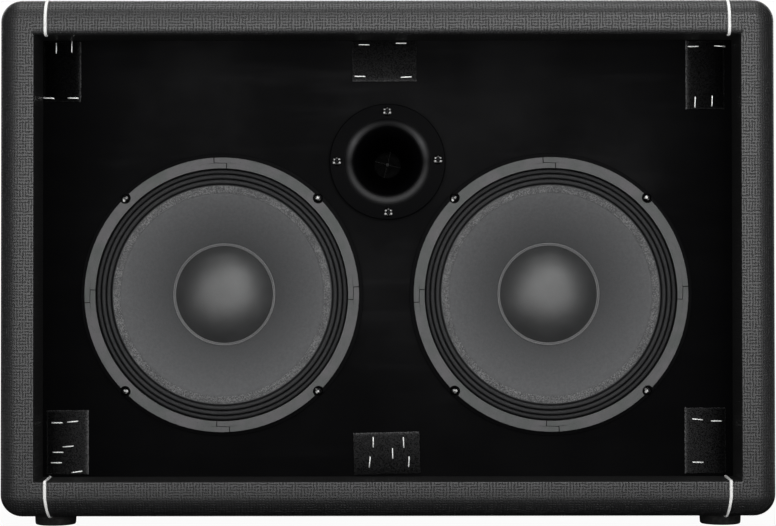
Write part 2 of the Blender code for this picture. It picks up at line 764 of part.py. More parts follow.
def cap_profile():
    """The dust cap: a domed sheet whose flange is glued to the cone."""
    rim = cone_height(CAP_RADIUS) + FIT + CAP_SHEET
    ball = (CAP_RADIUS**2 + CAP_RISE**2) / (2 * CAP_RISE)
    reach = math.asin(CAP_RADIUS / ball)
    turns = [reach * part / CAP_PARTS for part in range(CAP_PARTS + 1)]
    top = [(ball * math.sin(turn), rim + CAP_RISE - ball * (1 - math.cos(turn))) for turn in turns]
    outer = CAP_RADIUS + CAP_FLANGE
    top.append((outer, cone_height(outer) + FIT + CAP_SHEET))
    return top + [(radius, height - CAP_SHEET) for radius, height in top[::-1]]


def spider_line():
    """The spider's front face: flat rim on the ledge, waves, and a collar on the coil former."""
    rest = -LEDGE_DEPTH + FIT + SPIDER_SHEET
    outer = LEDGE_RADIUS - SPIDER_EDGE_GAP
    wave_outer = outer - SPIDER_RIM
    wave_inner = CONE_NECK + SPIDER_COLLAR
    pitch = (wave_outer - wave_inner) / SPIDER_WAVES
    line = [(outer, rest), (wave_outer, rest)]
    for wave in range(SPIDER_WAVES):
        line.append((wave_outer - (wave + 0.33) * pitch, rest + SPIDER_WAVE_HEIGHT))
        line.append((wave_outer - (wave + 0.67) * pitch, rest))
    line.append((wave_inner, rest + SPIDER_WAVE_HEIGHT / 2))
    line.append((CONE_NECK, rest + SPIDER_WAVE_HEIGHT / 2))
    return line


def coil_profile():
    """The voice coil: a former with its winding centred in the top plate's gap."""
    top = -CONE_DEPTH + COIL_OVERHANG - CONE_SHEET
    middle = -SEAT_DEPTH - PLATE_THICKNESS / 2
    winding_top = middle + COIL_LENGTH / 2
    winding_end = middle - COIL_LENGTH / 2
    winding_outer = FORMER_OUTER + COIL_WINDING
    return [
        (FORMER_OUTER, top),
        (FORMER_OUTER, winding_top),
        (winding_outer, winding_top),
        (winding_outer, winding_end),
        (COIL_RADIUS, winding_end),
        (COIL_RADIUS, top),
    ]


def yoke_profile():
    """The back plate and the pole, with a vent through both."""
    plate_top = -PLATE_BACK - FIT - MAGNET_THICKNESS - FIT
    pole_radius = COIL_RADIUS - COIL_CLEARANCE
    return [
        (pole_radius, -SEAT_DEPTH),
        (pole_radius, plate_top),
        (YOKE_RADIUS, plate_top),
        (YOKE_RADIUS, plate_top - YOKE_THICKNESS),
        (VENT_RADIUS, plate_top - YOKE_THICKNESS),
        (VENT_RADIUS, -SEAT_DEPTH),
    ]


basket_mesh = turned(basket_profile(), SPEAKER_STEPS)
gasket_mesh = turned(
    [
        (GASKET_OUTER, FLANGE_TOP + FIT + GASKET_HEIGHT),
        (GASKET_OUTER, FLANGE_TOP + FIT),
        (GASKET_OUTER - GASKET_FOOT, FLANGE_TOP + FIT),
        (GASKET_OUTER - GASKET_FOOT, RIM_TOP + FIT),
        (GASKET_INNER, RIM_TOP + FIT),
        (GASKET_INNER, FLANGE_TOP + FIT + GASKET_HEIGHT),
    ],
    SPEAKER_STEPS,
)
surround_mesh = turned(sheet_profile(surround_line(), SURROUND_SHEET), SPEAKER_STEPS)
cone_mesh = turned(sheet_profile(cone_line(), CONE_SHEET), SPEAKER_STEPS)
cap_mesh = turned(cap_profile(), SPEAKER_STEPS, closed=False)
spider_mesh = turned(sheet_profile(spider_line(), SPIDER_SHEET), MOTOR_STEPS)
coil_mesh = turned(coil_profile(), MOTOR_STEPS)
magnet_mesh = ring(
    MAGNET_RADIUS, MAGNET_BORE, -PLATE_BACK - FIT, -PLATE_BACK - FIT - MAGNET_THICKNESS, MOTOR_STEPS
)
yoke_mesh = turned(yoke_profile(), MOTOR_STEPS)
screw_mesh = turned(
    [
        (0, SCREW_HEAD_HEIGHT),
        (SCREW_CROWN_RADIUS, SCREW_HEAD_HEIGHT),
        (SCREW_HEAD_RADIUS, SCREW_HEAD_SIDE),
        (SCREW_HEAD_RADIUS, 0),
        (SCREW_SHANK_RADIUS, 0),
        (SCREW_SHANK_RADIUS, -SCREW_LENGTH),
        (0, -SCREW_LENGTH),
    ],
    SCREW_STEPS,
    closed=False,
)
pilot_mesh = rod(SCREW_SHANK_RADIUS + FIT, REACH, -SCREW_LENGTH - FIT, SCREW_STEPS)
frame_hole_mesh = rod(SCREW_SHANK_RADIUS + SCREW_CLEARANCE, REACH, -REACH, SCREW_STEPS)
notch_mesh = rod(NOTCH_RADIUS, REACH, -REACH, SMALL_STEPS)
window_low = LEDGE_RADIUS + FRAME_WALL + WINDOW_EDGE
window_high = WALL_INNER - SHOULDER_STEP - WINDOW_EDGE
window_mesh = block((window_high - window_low, WINDOW_WIDTH, SEAT_DEPTH))


def woofer(side_name, x):
    """One woofer: everything but the cone, the cap and the coil stays still."""
    axis = bpy.data.objects.new(f"{side_name}_woofer_axis", None)
    axis.location = (x, BAFFLE_FRONT, WOOFER_Z)
    axis.rotation_euler = FACING_FRONT
    cabinet.objects.link(axis)
    moving = bpy.data.objects.new(f"{side_name}_cone_axis", None)
    moving.parent = axis
    cabinet.objects.link(moving)

    basket = placed(f"{side_name}_basket", basket_mesh, BASKET_STEEL, parent=axis)
    for number in range(WINDOW_COUNT):
        turn = math.tau * number / WINDOW_COUNT
        middle = (window_low + window_high) / 2
        window = tool(
            f"{side_name}_basket_window_{number + 1}",
            window_mesh,
            (middle * math.cos(turn), middle * math.sin(turn), -SHOULDER_DEPTH - SEAT_DEPTH / 4),
            (0, 0, turn),
        )
        window.parent = axis
        combine(basket, "DIFFERENCE", window)
    gasket = placed(f"{side_name}_gasket", gasket_mesh, GREY_GASKET, parent=axis)
    for number, turn in enumerate(SCREW_TURNS, 1):
        place = (SCREW_CIRCLE * math.cos(turn), SCREW_CIRCLE * math.sin(turn), FLANGE_TOP)
        pilot = tool(f"{side_name}_pilot_{number}", pilot_mesh, (place[0], place[1], 0))
        hole = tool(f"{side_name}_frame_hole_{number}", frame_hole_mesh, place)
        notch = tool(f"{side_name}_gasket_notch_{number}", notch_mesh, place)
        for cutter, target in ((pilot, baffle), (hole, basket), (notch, gasket)):
            cutter.parent = axis
            combine(target, "DIFFERENCE", cutter)
        seat = (place[0], place[1], FLANGE_TOP + FIT)
        placed(f"{side_name}_woofer_screw_{number}", screw_mesh, SCREW_STEEL, seat, parent=axis)

    placed(f"{side_name}_surround", surround_mesh, SURROUND_CLOTH, parent=axis)
    placed(f"{side_name}_spider", spider_mesh, SPIDER_CLOTH, parent=axis)
    placed(f"{side_name}_magnet", magnet_mesh, FERRITE, parent=axis)
    placed(f"{side_name}_yoke", yoke_mesh, PLATED_STEEL, parent=axis)
    placed(f"{side_name}_cone", cone_mesh, CONE_PAPER, parent=moving)
    placed(f"{side_name}_dust_cap", cap_mesh, CAP_PAPER, parent=moving)
    placed(f"{side_name}_voice_coil", coil_mesh, COIL_COPPER, parent=moving)


woofer("left", LEFT_WOOFER_X)
woofer("right", RIGHT_WOOFER_X)

# Horn, turned in one piece with its flange, and the compression driver behind it


def flare():
    """(radius, depth) points down the inside of the horn, which opens faster near the mouth."""
    mouth = HORN_LIP_RADIUS - HORN_LIP_HALF
    shares = [part / FLARE_PARTS for part in range(FLARE_PARTS + 1)]
    return [
        (mouth - (mouth - HORN_THROAT_RADIUS) * (1 - (1 - share) ** HORN_CURVE), HORN_DEPTH * share)
        for share in shares
    ]


def horn_profile():
    top = FIT + HORN_FLANGE
    outside = [(radius + HORN_WALL, -depth) for radius, depth in flare()]
    inside = [(radius, -depth) for radius, depth in flare()[::-1]]
    bolt_back = -HORN_DEPTH - HORN_BOLT_FLANGE
    return [
        (HORN_FLANGE_RADIUS - HORN_FLANGE_EDGE, top),
        (HORN_FLANGE_RADIUS, top - HORN_FLANGE_EDGE),
        (HORN_FLANGE_RADIUS, FIT),
        (HORN_MOUTH_RADIUS, FIT),
        *outside,
        (HORN_BOLT_FLANGE_RADIUS, -HORN_DEPTH),
        (HORN_BOLT_FLANGE_RADIUS, bolt_back),
        (HORN_THROAT_RADIUS, bolt_back),
        *inside,
        (HORN_LIP_RADIUS - HORN_LIP_HALF, top),
        (HORN_LIP_RADIUS - HORN_LIP_SHOULDER, top + HORN_LIP_SHOULDER_RISE),
        (HORN_LIP_RADIUS, top + HORN_LIP_RISE),
        (HORN_LIP_RADIUS + HORN_LIP_SHOULDER, top + HORN_LIP_SHOULDER_RISE),
        (HORN_MOUTH_RADIUS, top),
    ]


horn_mesh = turned(horn_profile(), MOTOR_STEPS)
placed("horn", horn_mesh, HORN_PLASTIC, (0, BAFFLE_FRONT, HORN_Z), FACING_FRONT)

driver_top = -HORN_DEPTH - HORN_BOLT_FLANGE - FIT
driver_end = driver_top - DRIVER_NECK - DRIVER_LENGTH
driver_mesh = turned(
    [
        (0, driver_top - DRIVER_BORE_DEPTH),
        (HORN_THROAT_RADIUS, driver_top - DRIVER_BORE_DEPTH),
        (HORN_THROAT_RADIUS, driver_top),
        (DRIVER_NECK_RADIUS, driver_top),
        (DRIVER_NECK_RADIUS, driver_top - DRIVER_NECK),
        (DRIVER_RADIUS, driver_top - DRIVER_NECK),
        (DRIVER_RADIUS, driver_end + DRIVER_EDGE),
        (DRIVER_RADIUS - DRIVER_EDGE, driver_end),
        (0, driver_end),
    ],
    MOTOR_STEPS,
    closed=False,
)
placed("horn_driver", driver_mesh, DRIVER_METAL, (0, BAFFLE_FRONT, HORN_Z), FACING_FRONT)

# Jack plate over its window in the back panel. Heights here are behind the back panel's face.

PLATE_FRONT = BACK_PANEL_OUTSIDE + FIT
jack_plate = placed(
    "jack_plate",
    block((JACK_PLATE_WIDTH, JACK_PLATE_SHEET, JACK_PLATE_HEIGHT), JACK_PLATE_RADIUS),
    PLATE_STEEL,
    (0, PLATE_FRONT + JACK_PLATE_SHEET / 2, JACK_PLATE_Z),
)
JACK_PLACES = {"input_jack": INPUT_JACK_OFFSET, "link_jack": INPUT_JACK_OFFSET + JACK_PITCH}
for jack_name, x in JACK_PLACES.items():
    hole = rod(JACK_BUSH_RADIUS + FIT, REACH, -REACH, SMALL_STEPS)
    combine(
        jack_plate,
        "DIFFERENCE",
        tool(f"{jack_name}_hole", hole, (x, PLATE_FRONT, JACK_PLATE_Z), FACING_BACK),
    )
pot_hole = rod(POT_BUSH_RADIUS + FIT, REACH, -REACH, SMALL_STEPS)
combine(
    jack_plate,
    "DIFFERENCE",
    tool("attenuator_hole", pot_hole, (ATTENUATOR_OFFSET, PLATE_FRONT, JACK_PLATE_Z), FACING_BACK),
)


def bushed_profile(nut_radius, nut, bush_radius, body_radius, body_length, bore_radius, bore_depth):
    """A body behind the plate, a bush through it and a nut outside, with a blind bore down the middle."""
    outside = JACK_PLATE_SHEET + 2 * FIT
    return [
        (0, outside + nut - bore_depth),
        (bore_radius, outside + nut - bore_depth),
        (bore_radius, outside + nut),
        (nut_radius, outside + nut),
        (nut_radius, outside),
        (bush_radius, outside),
        (bush_radius, 0),
        (body_radius, 0),
        (body_radius, -body_length),
        (0, -body_length),
    ]


socket_front = JACK_PLATE_SHEET + 2 * FIT + JACK_NUT
jack_body = SOCKET_DEPTH + JACK_BODY_END - socket_front
jack_nut = (JACK_NUT_RADIUS, JACK_NUT)
jack_mesh = turned(
    bushed_profile(*jack_nut, JACK_BUSH_RADIUS, JACK_BODY_RADIUS, jack_body, SOCKET_RADIUS, SOCKET_DEPTH),
    SMALL_STEPS,
    closed=False,
)
for jack_name, x in JACK_PLACES.items():
    placed(jack_name, jack_mesh, NICKEL, (x, PLATE_FRONT - FIT, JACK_PLATE_Z), FACING_BACK)

# Attenuator for the horn: its shaft and knob turn

shaft_bore = SHAFT_RADIUS + FIT
pot_outside = JACK_PLATE_SHEET + 2 * FIT + POT_NUT
pot_mesh = turned(
    bushed_profile(
        POT_NUT_RADIUS, POT_NUT, POT_BUSH_RADIUS, POT_RADIUS, POT_LENGTH, shaft_bore, SHAFT_INSERT + FIT
    ),
    SMALL_STEPS,
    closed=False,
)
pot_place = (ATTENUATOR_OFFSET, PLATE_FRONT - FIT, JACK_PLATE_Z)
placed("attenuator", pot_mesh, PLATED_STEEL, pot_place, FACING_BACK)
knob_base = pot_outside + KNOB_LIFT
knob_axis = bpy.data.objects.new("attenuator_axis", None)
knob_axis.location = pot_place
knob_axis.rotation_euler = FACING_BACK
cabinet.objects.link(knob_axis)
shaft_mesh = rod(SHAFT_RADIUS, knob_base + KNOB_BORE_DEPTH - FIT, pot_outside - SHAFT_INSERT, SCREW_STEPS)
placed("attenuator_shaft", shaft_mesh, NICKEL, parent=knob_axis)
knob_mesh = turned(
    [
        (0, knob_base + KNOB_HEIGHT),
        (KNOB_RADIUS - KNOB_TAPER - KNOB_EDGE, knob_base + KNOB_HEIGHT),
        (KNOB_RADIUS - KNOB_TAPER, knob_base + KNOB_HEIGHT - KNOB_EDGE),
        (KNOB_RADIUS, knob_base),
        (shaft_bore, knob_base),
        (shaft_bore, knob_base + KNOB_BORE_DEPTH),
        (0, knob_base + KNOB_BORE_DEPTH),
    ],
    MOTOR_STEPS,
    closed=False,
)
knob = placed("attenuator_knob", knob_mesh, KNOB_PLASTIC, parent=knob_axis)
pointer = tool(
    "knob_pointer",
    block((KNOB_POINTER_WIDTH, KNOB_RADIUS, 2 * KNOB_POINTER_DEPTH)),
    (0, -KNOB_RADIUS / 2 - KNOB_EDGE, knob_base + KNOB_HEIGHT),
)
pointer.parent = knob_axis
combine(knob, "DIFFERENCE", pointer)

# Recessed bar handles. Each is one moulding: flange, cup and bar.


def handle(side_name, side):
    """A handle modelled facing +X and turned to face its own side."""
    place = (side * BOX_WIDTH / 2, 0, HANDLE_Z)
    facing = (0, 0, 0 if side > 0 else math.pi)
    flange = placed(
        f"{side_name}_handle",
        block((HANDLE_FLANGE, HANDLE_LENGTH, HANDLE_HEIGHT), HANDLE_RADIUS, turn_axis=0),
        HANDLE_PLASTIC,
        (place[0] + side * (FIT + HANDLE_FLANGE / 2), 0, HANDLE_Z),
        facing,
    )
    cup_length = CUP_DEPTH + FIT + HANDLE_FLANGE / 2
    cup = tool(
        f"{side_name}_cup",
        block((cup_length, CUP_LENGTH, CUP_HEIGHT), HANDLE_RADIUS - CUP_CLEARANCE, turn_axis=0),
        (place[0] + side * (cup_length / 2 - CUP_DEPTH), 0, HANDLE_Z),
        facing,
    )
    hollow_length = CUP_DEPTH - CUP_WALL + REACH
    hollow = tool(
        f"{side_name}_cup_hollow",
        block(
            (hollow_length, CUP_LENGTH - 2 * CUP_WALL, CUP_HEIGHT - 2 * CUP_WALL),
            HANDLE_RADIUS - CUP_WALL,
            turn_axis=0,
        ),
        (place[0] + side * (CUP_WALL - CUP_DEPTH + hollow_length / 2), 0, HANDLE_Z),
        facing,
    )
    bar = tool(
        f"{side_name}_bar",
        block((BAR_THICKNESS, CUP_LENGTH - CUP_WALL, BAR_HEIGHT), BAR_RADIUS, turn_axis=1),
        (place[0] - side * (BAR_INSET + BAR_THICKNESS / 2), 0, HANDLE_Z),
        facing,
    )
    combine(flange, "UNION", cup)
    combine(flange, "DIFFERENCE", hollow)
    combine(flange, "UNION", bar)


handle("left", -1)
handle("right", 1)

# Crossover board on the floor of the box, with its coils, capacitors and terminals

floor_inside = MIDDLE - INSIDE_Z
board_bottom = floor_inside + FIT + BOARD_STANDOFF
board_top = board_bottom + BOARD_SHEET
board_y = BACK_PANEL_OUTSIDE - BACK_PLY - BOARD_BACK_GAP - BOARD_DEPTH / 2
crossover = placed(
    "crossover",
    block((BOARD_WIDTH, BOARD_DEPTH, BOARD_SHEET)),
    BOARD_GREEN,
    (0, board_y, board_top - BOARD_SHEET / 2),
)
standoff = rod(STANDOFF_RADIUS, BOARD_STANDOFF + BOARD_SHEET / 2, 0, SCREW_STEPS)
for x_side in (-1, 1):
    for y_side in (-1, 1):
        place = (
            x_side * (BOARD_WIDTH / 2 - STANDOFF_INSET),
            board_y + y_side * (BOARD_DEPTH / 2 - STANDOFF_INSET),
            floor_inside + FIT,
        )
        combine(crossover, "UNION", tool(f"standoff_{x_side + 1}{y_side + 1}", standoff, place))
sunk = board_top - BOARD_SHEET / 2
large_coil = rod(COIL_LARGE_RADIUS, COIL_LARGE_HEIGHT, 0, SMALL_STEPS)
small_coil = rod(COIL_SMALL_RADIUS, COIL_SMALL_HEIGHT, 0, SMALL_STEPS)
capacitor = rod(CAPACITOR_RADIUS, CAPACITOR_LENGTH / 2, -CAPACITOR_LENGTH / 2, SMALL_STEPS)
quarter_x = BOARD_WIDTH / 4
combine(
    crossover,
    "UNION",
    tool("large_coil", large_coil, (-quarter_x, board_y, sunk)),
    tool("small_coil", small_coil, (quarter_x, board_y - PARTS_OFFSET, sunk)),
    tool(
        "capacitor",
        capacitor,
        (quarter_x, board_y + PARTS_OFFSET, board_top + CAPACITOR_RADIUS - CAPACITOR_SINK),
        (0, math.radians(90), 0),
    ),
)
terminal_y = board_y + BOARD_DEPTH / 2 - TERMINAL_DEPTH
terminal = tool(
    "terminal",
    block((TERMINAL_WIDTH, TERMINAL_DEPTH, TERMINAL_HEIGHT)),
    (-quarter_x, terminal_y, sunk + TERMINAL_HEIGHT / 2),
)
combine(crossover, "UNION", terminal)

# Lead from the input jack's tail down to the crossover's terminals

lead_start = Vector((INPUT_JACK_OFFSET, PLATE_FRONT - 2 * FIT - jack_body, JACK_PLATE_Z))
lead_end = Vector((-quarter_x, terminal_y, sunk + TERMINAL_HEIGHT + FIT))
drop = (lead_start - lead_end).z
route = [lead_start, lead_start - Vector((0, LEAD_STRAIGHT, 0))]
route += geometry.interpolate_bezier(
    route[-1],
    route[-1] - Vector((0, drop / 4, 0)),
    lead_end + Vector((0, 0, LEAD_STRAIGHT + drop / 3)),
    lead_end + Vector((0, 0, LEAD_STRAIGHT)),
    LEAD_POINTS,
)[1:]
route.append(lead_end)
lead_curve = bpy.data.curves.new("input_lead", "CURVE")
lead_curve.dimensions = "3D"
lead_curve.bevel_depth = LEAD_RADIUS
lead_curve.bevel_resolution = 2
lead_curve.use_fill_caps = True
lead_spline = lead_curve.splines.new("POLY")
lead_spline.points.add(len(route) - 1)
for point, place in zip(lead_spline.points, route):
    point.co = (*place, 1)
placed("input_lead", lead_curve, LEAD_SLEEVE)
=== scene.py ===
"""Bass speaker cabinet: two ten-inch woofers and a round horn in a vinyl-covered plywood box.

Metres, +Z up. X runs to the right seen from the front, and the front faces -Y, as in the solids that
this script loads. Each section makes one piece, or a group of like pieces, in the order in which the
cabinet is put together.
"""

import math

import bpy
import numpy as np
from mathutils import Matrix


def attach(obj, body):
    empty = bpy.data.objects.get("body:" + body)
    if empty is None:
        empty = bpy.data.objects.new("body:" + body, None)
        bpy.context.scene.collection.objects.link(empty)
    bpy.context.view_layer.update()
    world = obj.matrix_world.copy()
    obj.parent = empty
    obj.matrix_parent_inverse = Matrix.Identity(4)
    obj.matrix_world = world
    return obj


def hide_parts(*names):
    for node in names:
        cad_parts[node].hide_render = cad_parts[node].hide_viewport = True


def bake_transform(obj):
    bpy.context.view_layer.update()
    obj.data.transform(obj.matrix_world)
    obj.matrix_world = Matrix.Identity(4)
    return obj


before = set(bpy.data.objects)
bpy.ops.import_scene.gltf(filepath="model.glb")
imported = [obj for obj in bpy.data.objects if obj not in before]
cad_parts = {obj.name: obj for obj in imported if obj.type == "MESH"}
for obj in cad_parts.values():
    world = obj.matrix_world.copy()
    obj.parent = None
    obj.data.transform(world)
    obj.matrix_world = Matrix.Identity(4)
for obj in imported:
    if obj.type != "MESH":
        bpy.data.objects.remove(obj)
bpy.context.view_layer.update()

# Plywood shell: top, bottom and two sides, cut from birch plywood and glued in rabbets. The covering
# hides the panels, so each keeps the shape of its solid and only gets its wood: pale veneer with long
# grain, and thin darker glue lines where a cut edge shows.


class Reading:
    """A number that varies over a surface. Arithmetic on readings adds Math nodes to their graph."""

    def __init__(self, graph, socket):
        self.graph = graph
        self.socket = socket

    def maths(self, operation, *values):
        return self.graph.add("Math", {"operation": operation}, dict(enumerate(values)))

    def __add__(self, other):
        return self.maths("ADD", self, other)

    def __sub__(self, other):
        return self.maths("SUBTRACT", self, other)

    def __rsub__(self, other):
        return self.maths("SUBTRACT", other, self)

    def __mul__(self, other):
        return self.maths("MULTIPLY", self, other)

    def __truediv__(self, other):
        return self.maths("DIVIDE", self, other)

    def __pow__(self, other):
        return self.maths("POWER", self, other)

    __radd__ = __add__
    __rmul__ = __mul__

    def cosine(self):
        return self.maths("COSINE", self)

    def size(self):
        return self.maths("ABSOLUTE", self)

    def least(self, other):
        return self.maths("MINIMUM", self, other)

    def most(self, other):
        return self.maths("MAXIMUM", self, other)

    def rise(self, low, high, first=0.0, last=1.0):
        """A soft step from the first value, where the reading is low, to the last, where it is high."""
        return self.graph.add(
            "MapRange",
            {"interpolation_type": "SMOOTHSTEP"},
            {"Value": self, "From Min": low, "From Max": high, "To Min": first, "To Max": last},
        )


class Graph:
    """The shader nodes of a finish, or of the world."""

    def __init__(self, owner):
        owner.use_nodes = True
        self.tree = owner.node_tree

    def fill(self, socket, value):
        """Gives a socket a reading, a colour or a number."""
        if isinstance(value, Reading):
            self.tree.links.new(value.socket, socket)
        elif isinstance(value, tuple) and len(value) < len(socket.default_value):
            socket.default_value = (*value, 1.0)
        else:
            socket.default_value = value

    def add(self, kind, settings=None, sockets=None, output=0):
        """Adds a node: its settings first, a ramp's stops among them, then what its sockets take."""
        node = self.tree.nodes.new(f"ShaderNode{kind}")
        for name, setting in (settings or {}).items():
            if name == "stops":
                marks = node.color_ramp.elements
                for _ in setting[2:]:
                    marks.new(1.0)
                for mark, (place, colour) in zip(marks, setting):
                    mark.position = place
                    mark.color = (*colour, 1.0)
            else:
                setattr(node, name, setting)
        for name, value in (sockets or {}).items():
            self.fill(node.inputs[name], value)
        return Reading(self, node.outputs[output])


class Finish(Graph):
    """A material with one Principled shader. What is the same all over is set on the shader itself."""

    def __init__(self, name, colour, roughness, metallic=0.0, specular=0.5):
        self.material = bpy.data.materials.new(name)
        super().__init__(self.material)
        self.shader = self.tree.nodes["Principled BSDF"]
        self.take("Base Color", colour)
        self.take("Roughness", roughness)
        self.take("Metallic", metallic)
        self.take("Specular IOR Level", specular)

    def take(self, socket, value):
        """Gives one of the shader's sockets a value or a reading."""
        self.fill(self.shader.inputs[socket], value)

    def tint(self, share, first, second):
        """Colours the surface between two colours, by a share from 0 to 1."""
        self.take("Base Color", self.blend(share, first, second))

    def place(self, stretch=(1.0, 1.0, 1.0)):
        """The object's own coordinates in metres, stretched along its axes."""
        return self.add("Mapping", None, {0: self.add("TexCoord", None, None, "Object"), "Scale": stretch})

    def noise(self, scale, detail=3.0, roughness=0.5, where=None):
        """Cloudy noise from 0 to 1, with about one cloud in 1/scale metres."""
        sockets = {"Scale": scale, "Detail": detail, "Roughness": roughness}
        sockets["Vector"] = where or self.place()
        return self.add("TexNoise", None, sockets)

    def cells(self, scale):
        """Distance to the nearest of many scattered points, about 1/scale metres apart."""
        return self.add("TexVoronoi", None, {"Vector": self.place(), "Scale": scale})

    def cloth(self):
        """The piece's place on its cloth, a UV map of two numbers whose meaning its section gives."""
        return self.add("UVMap", {"uv_map": "cloth"})

    def along(self, axis, where=None):
        """One coordinate of a place: 0, 1 or 2."""
        return self.add("SeparateXYZ", None, {0: where or self.place()}, axis)

    def blend(self, share, first, second):
        """A colour between two, by a share from 0 to 1."""
        return self.add("Mix", {"data_type": "RGBA"}, {0: share, 6: first, 7: second}, 2)

    def emboss(self, height, distance):
        """Lets a reading raise the surface by up to a distance, in the shading."""
        self.take("Normal", self.add("Bump", None, {"Height": height, "Distance": distance}))


def dress(finish, *nodes):
    """Gives solids that keep their shape a finish."""
    for name in nodes:
        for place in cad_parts[name].material_slots:
            place.link = "OBJECT"
            place.material = finish.material


birch = Finish("birch_plywood", (0.62, 0.46, 0.29), 0.62, specular=0.3)
birch_grain = birch.noise(28, 6, 0.6, birch.place((0.35, 3.0, 3.0)))
birch_plies = (birch.along(2) * 2400).cosine()
birch_shade = birch_grain.rise(0.3, 0.72) * 0.75 + birch_plies * 0.08
birch.tint(birch_shade, (0.70, 0.54, 0.35), (0.50, 0.34, 0.19))
birch.take("Roughness", birch_grain.rise(0.2, 0.8, 0.55, 0.72))
birch.emboss(birch_grain, 0.0002)
dress(birch, "top_panel", "bottom_panel", "left_side_panel", "right_side_panel")

# Front frame: four strips of plywood glued as a ring inside the panels, which widen the lip round the
# recess. Their inner front edge is eased, more on the top strip, so that the covering rolls over it.

HALF_WIDTH = 0.354
HALF_HEIGHT = 0.236
MIDDLE = 0.246
FRONT = -0.200
BACK = 0.200
BAFFLE = -0.144
CORNER = 0.020
INNER_CORNER = 0.001
LIP = 0.0327
SKIN = 0.0012
FIT = 0.0003
STRIP_OUTER = 0.0195
LIP_ROUND = 0.0009
TOP_LIP_ROUND = 0.0050
SEAM_X = 0.311


def arc(steps):
    """Angles from 0 to a right angle."""
    return np.linspace(0, math.pi / 2, steps + 1)


def round_the_box(across_stops, up_stops):
    """Columns once round the box, anticlockwise seen from the front.

    Rows of (angle of the normal, x side, z side, x stop, z stop, 1 on the top and bottom). A column
    on a straight run has its stop along it, and a column on a corner has both sides. The column at
    the middle of each corner is there twice, where the grain turns from one run to the next.
    """
    rows = []

    def run(turn, x_side, z_side, x_stops, z_stops, level):
        rows.extend((turn, x_side, z_side, x, z, level) for x, z in zip(x_stops, z_stops))

    def corner(start, x_side, z_side, level):
        half = np.linspace(0, math.pi / 4, 7)
        rows.extend((start + turn, x_side, z_side, 0, 0, level) for turn in half)
        rows.extend((start + math.pi / 4 + turn, x_side, z_side, 0, 0, 1 - level) for turn in half)

    no_x = np.zeros(len(up_stops))
    no_z = np.zeros(len(across_stops))
    run(0, 1, 0, no_x, up_stops, 0)
    corner(0, 1, 1, 0)
    run(math.pi / 2, 0, 1, across_stops[::-1], no_z, 1)
    corner(math.pi / 2, -1, 1, 1)
    run(math.pi, -1, 0, no_x, up_stops[::-1], 0)
    corner(math.pi, -1, -1, 0)
    run(math.pi * 1.5, 0, -1, across_stops, no_z, 1)
    corner(math.pi * 1.5, 1, -1, 1)
    rows.append(rows[0])
    return np.array(rows)


def on_the_box(inset, y, columns):
    """Points on rounded rectangles round the box, and how far along the box each one lies.

    x = side * (half width - inset - radius) + radius * cos(angle) + stop, and z likewise with the
    sine. Along a corner the distance goes on as radius times angle.
    """
    turn, x_side, z_side, x_stop, z_stop, level = columns.T
    radius = np.maximum(CORNER - inset, INNER_CORNER)
    x_end = HALF_WIDTH - inset - radius
    z_end = HALF_HEIGHT - inset - radius
    x = x_side * x_end + radius * np.cos(turn) + x_stop
    z = z_side * z_end + radius * np.sin(turn) + z_stop
    lift = np.arctan2(np.abs(np.sin(turn)), np.abs(np.cos(turn)))
    along_x = x_stop + x_side * (x_end + radius * (math.pi / 2 - lift))
    along_z = z_stop + z_side * (z_end + radius * lift)
    return np.stack([x, y, z + MIDDLE], axis=-1), np.where(level > 0, along_x, along_z)


def squares_of(rows, columns, kept=None):
    """Corner numbers of a grid's squares, as (i, j), (i + 1, j), (i + 1, j + 1), (i, j + 1)."""
    number = np.arange(rows * columns).reshape(rows, columns)
    first = number[:-1, :-1].ravel() if kept is None else number[:-1, :-1][kept]
    return np.stack([first, first + columns, first + columns + 1, first + 1], axis=1)


def same_places(points):
    """For each point, the number of the first of the points that share its place."""
    _, first, group = np.unique(np.round(points, 7), axis=0, return_index=True, return_inverse=True)
    return first[group.ravel()]


def grid(points, cloth=None):
    """A shape from a grid of points whose edges meet: (points, squares, place on the cloth)."""
    rows, columns = points.shape[:2]
    if cloth is None:
        cloth = np.zeros((rows, columns, 2))
    return points.reshape(-1, 3), squares_of(rows, columns), cloth.reshape(-1, 2)


def sheet(outer, inner, kept=None, cloth=None):
    """A sheet with thickness: an outer grid, an inner one, and a wall along every free edge.

    An edge is free if no kept square runs along it the other way. Each wall is the square between
    the free edge on the outer grid and the same edge on the inner grid.
    """
    rows, columns = outer.shape[:2]
    squares = squares_of(rows, columns, kept)
    if cloth is None:
        cloth = np.zeros((rows, columns, 2))
    place = same_places(outer.reshape(-1, 3))
    count = rows * columns
    ends = np.stack([squares, np.roll(squares, -1, axis=1)], axis=2).reshape(-1, 2)
    ahead = place[ends[:, 0]] * count + place[ends[:, 1]]
    back = place[ends[:, 1]] * count + place[ends[:, 0]]
    free = ends[~np.isin(ahead, back)]
    walls = np.stack([free[:, 1], free[:, 0], free[:, 0] + count, free[:, 1] + count], axis=1)
    points = np.concatenate([outer.reshape(-1, 3), inner.reshape(-1, 3)])
    cloth = np.concatenate([cloth.reshape(-1, 2), cloth.reshape(-1, 2)])
    return points, np.concatenate([squares, squares[:, ::-1] + count, walls]), cloth


def outwards(shape):
    """Turns a closed shape's squares round if they face inwards.

    The volume of the pyramids from one of its points to its squares is then below zero.
    """
    points, squares, cloth = shape
    a, b, c, d = np.moveaxis(points[squares] - points[0], 1, 0)
    volume = np.sum(a * (np.cross(b, c) + np.cross(c, d)))
    return points, squares[:, ::-1] if volume < 0 else squares, cloth


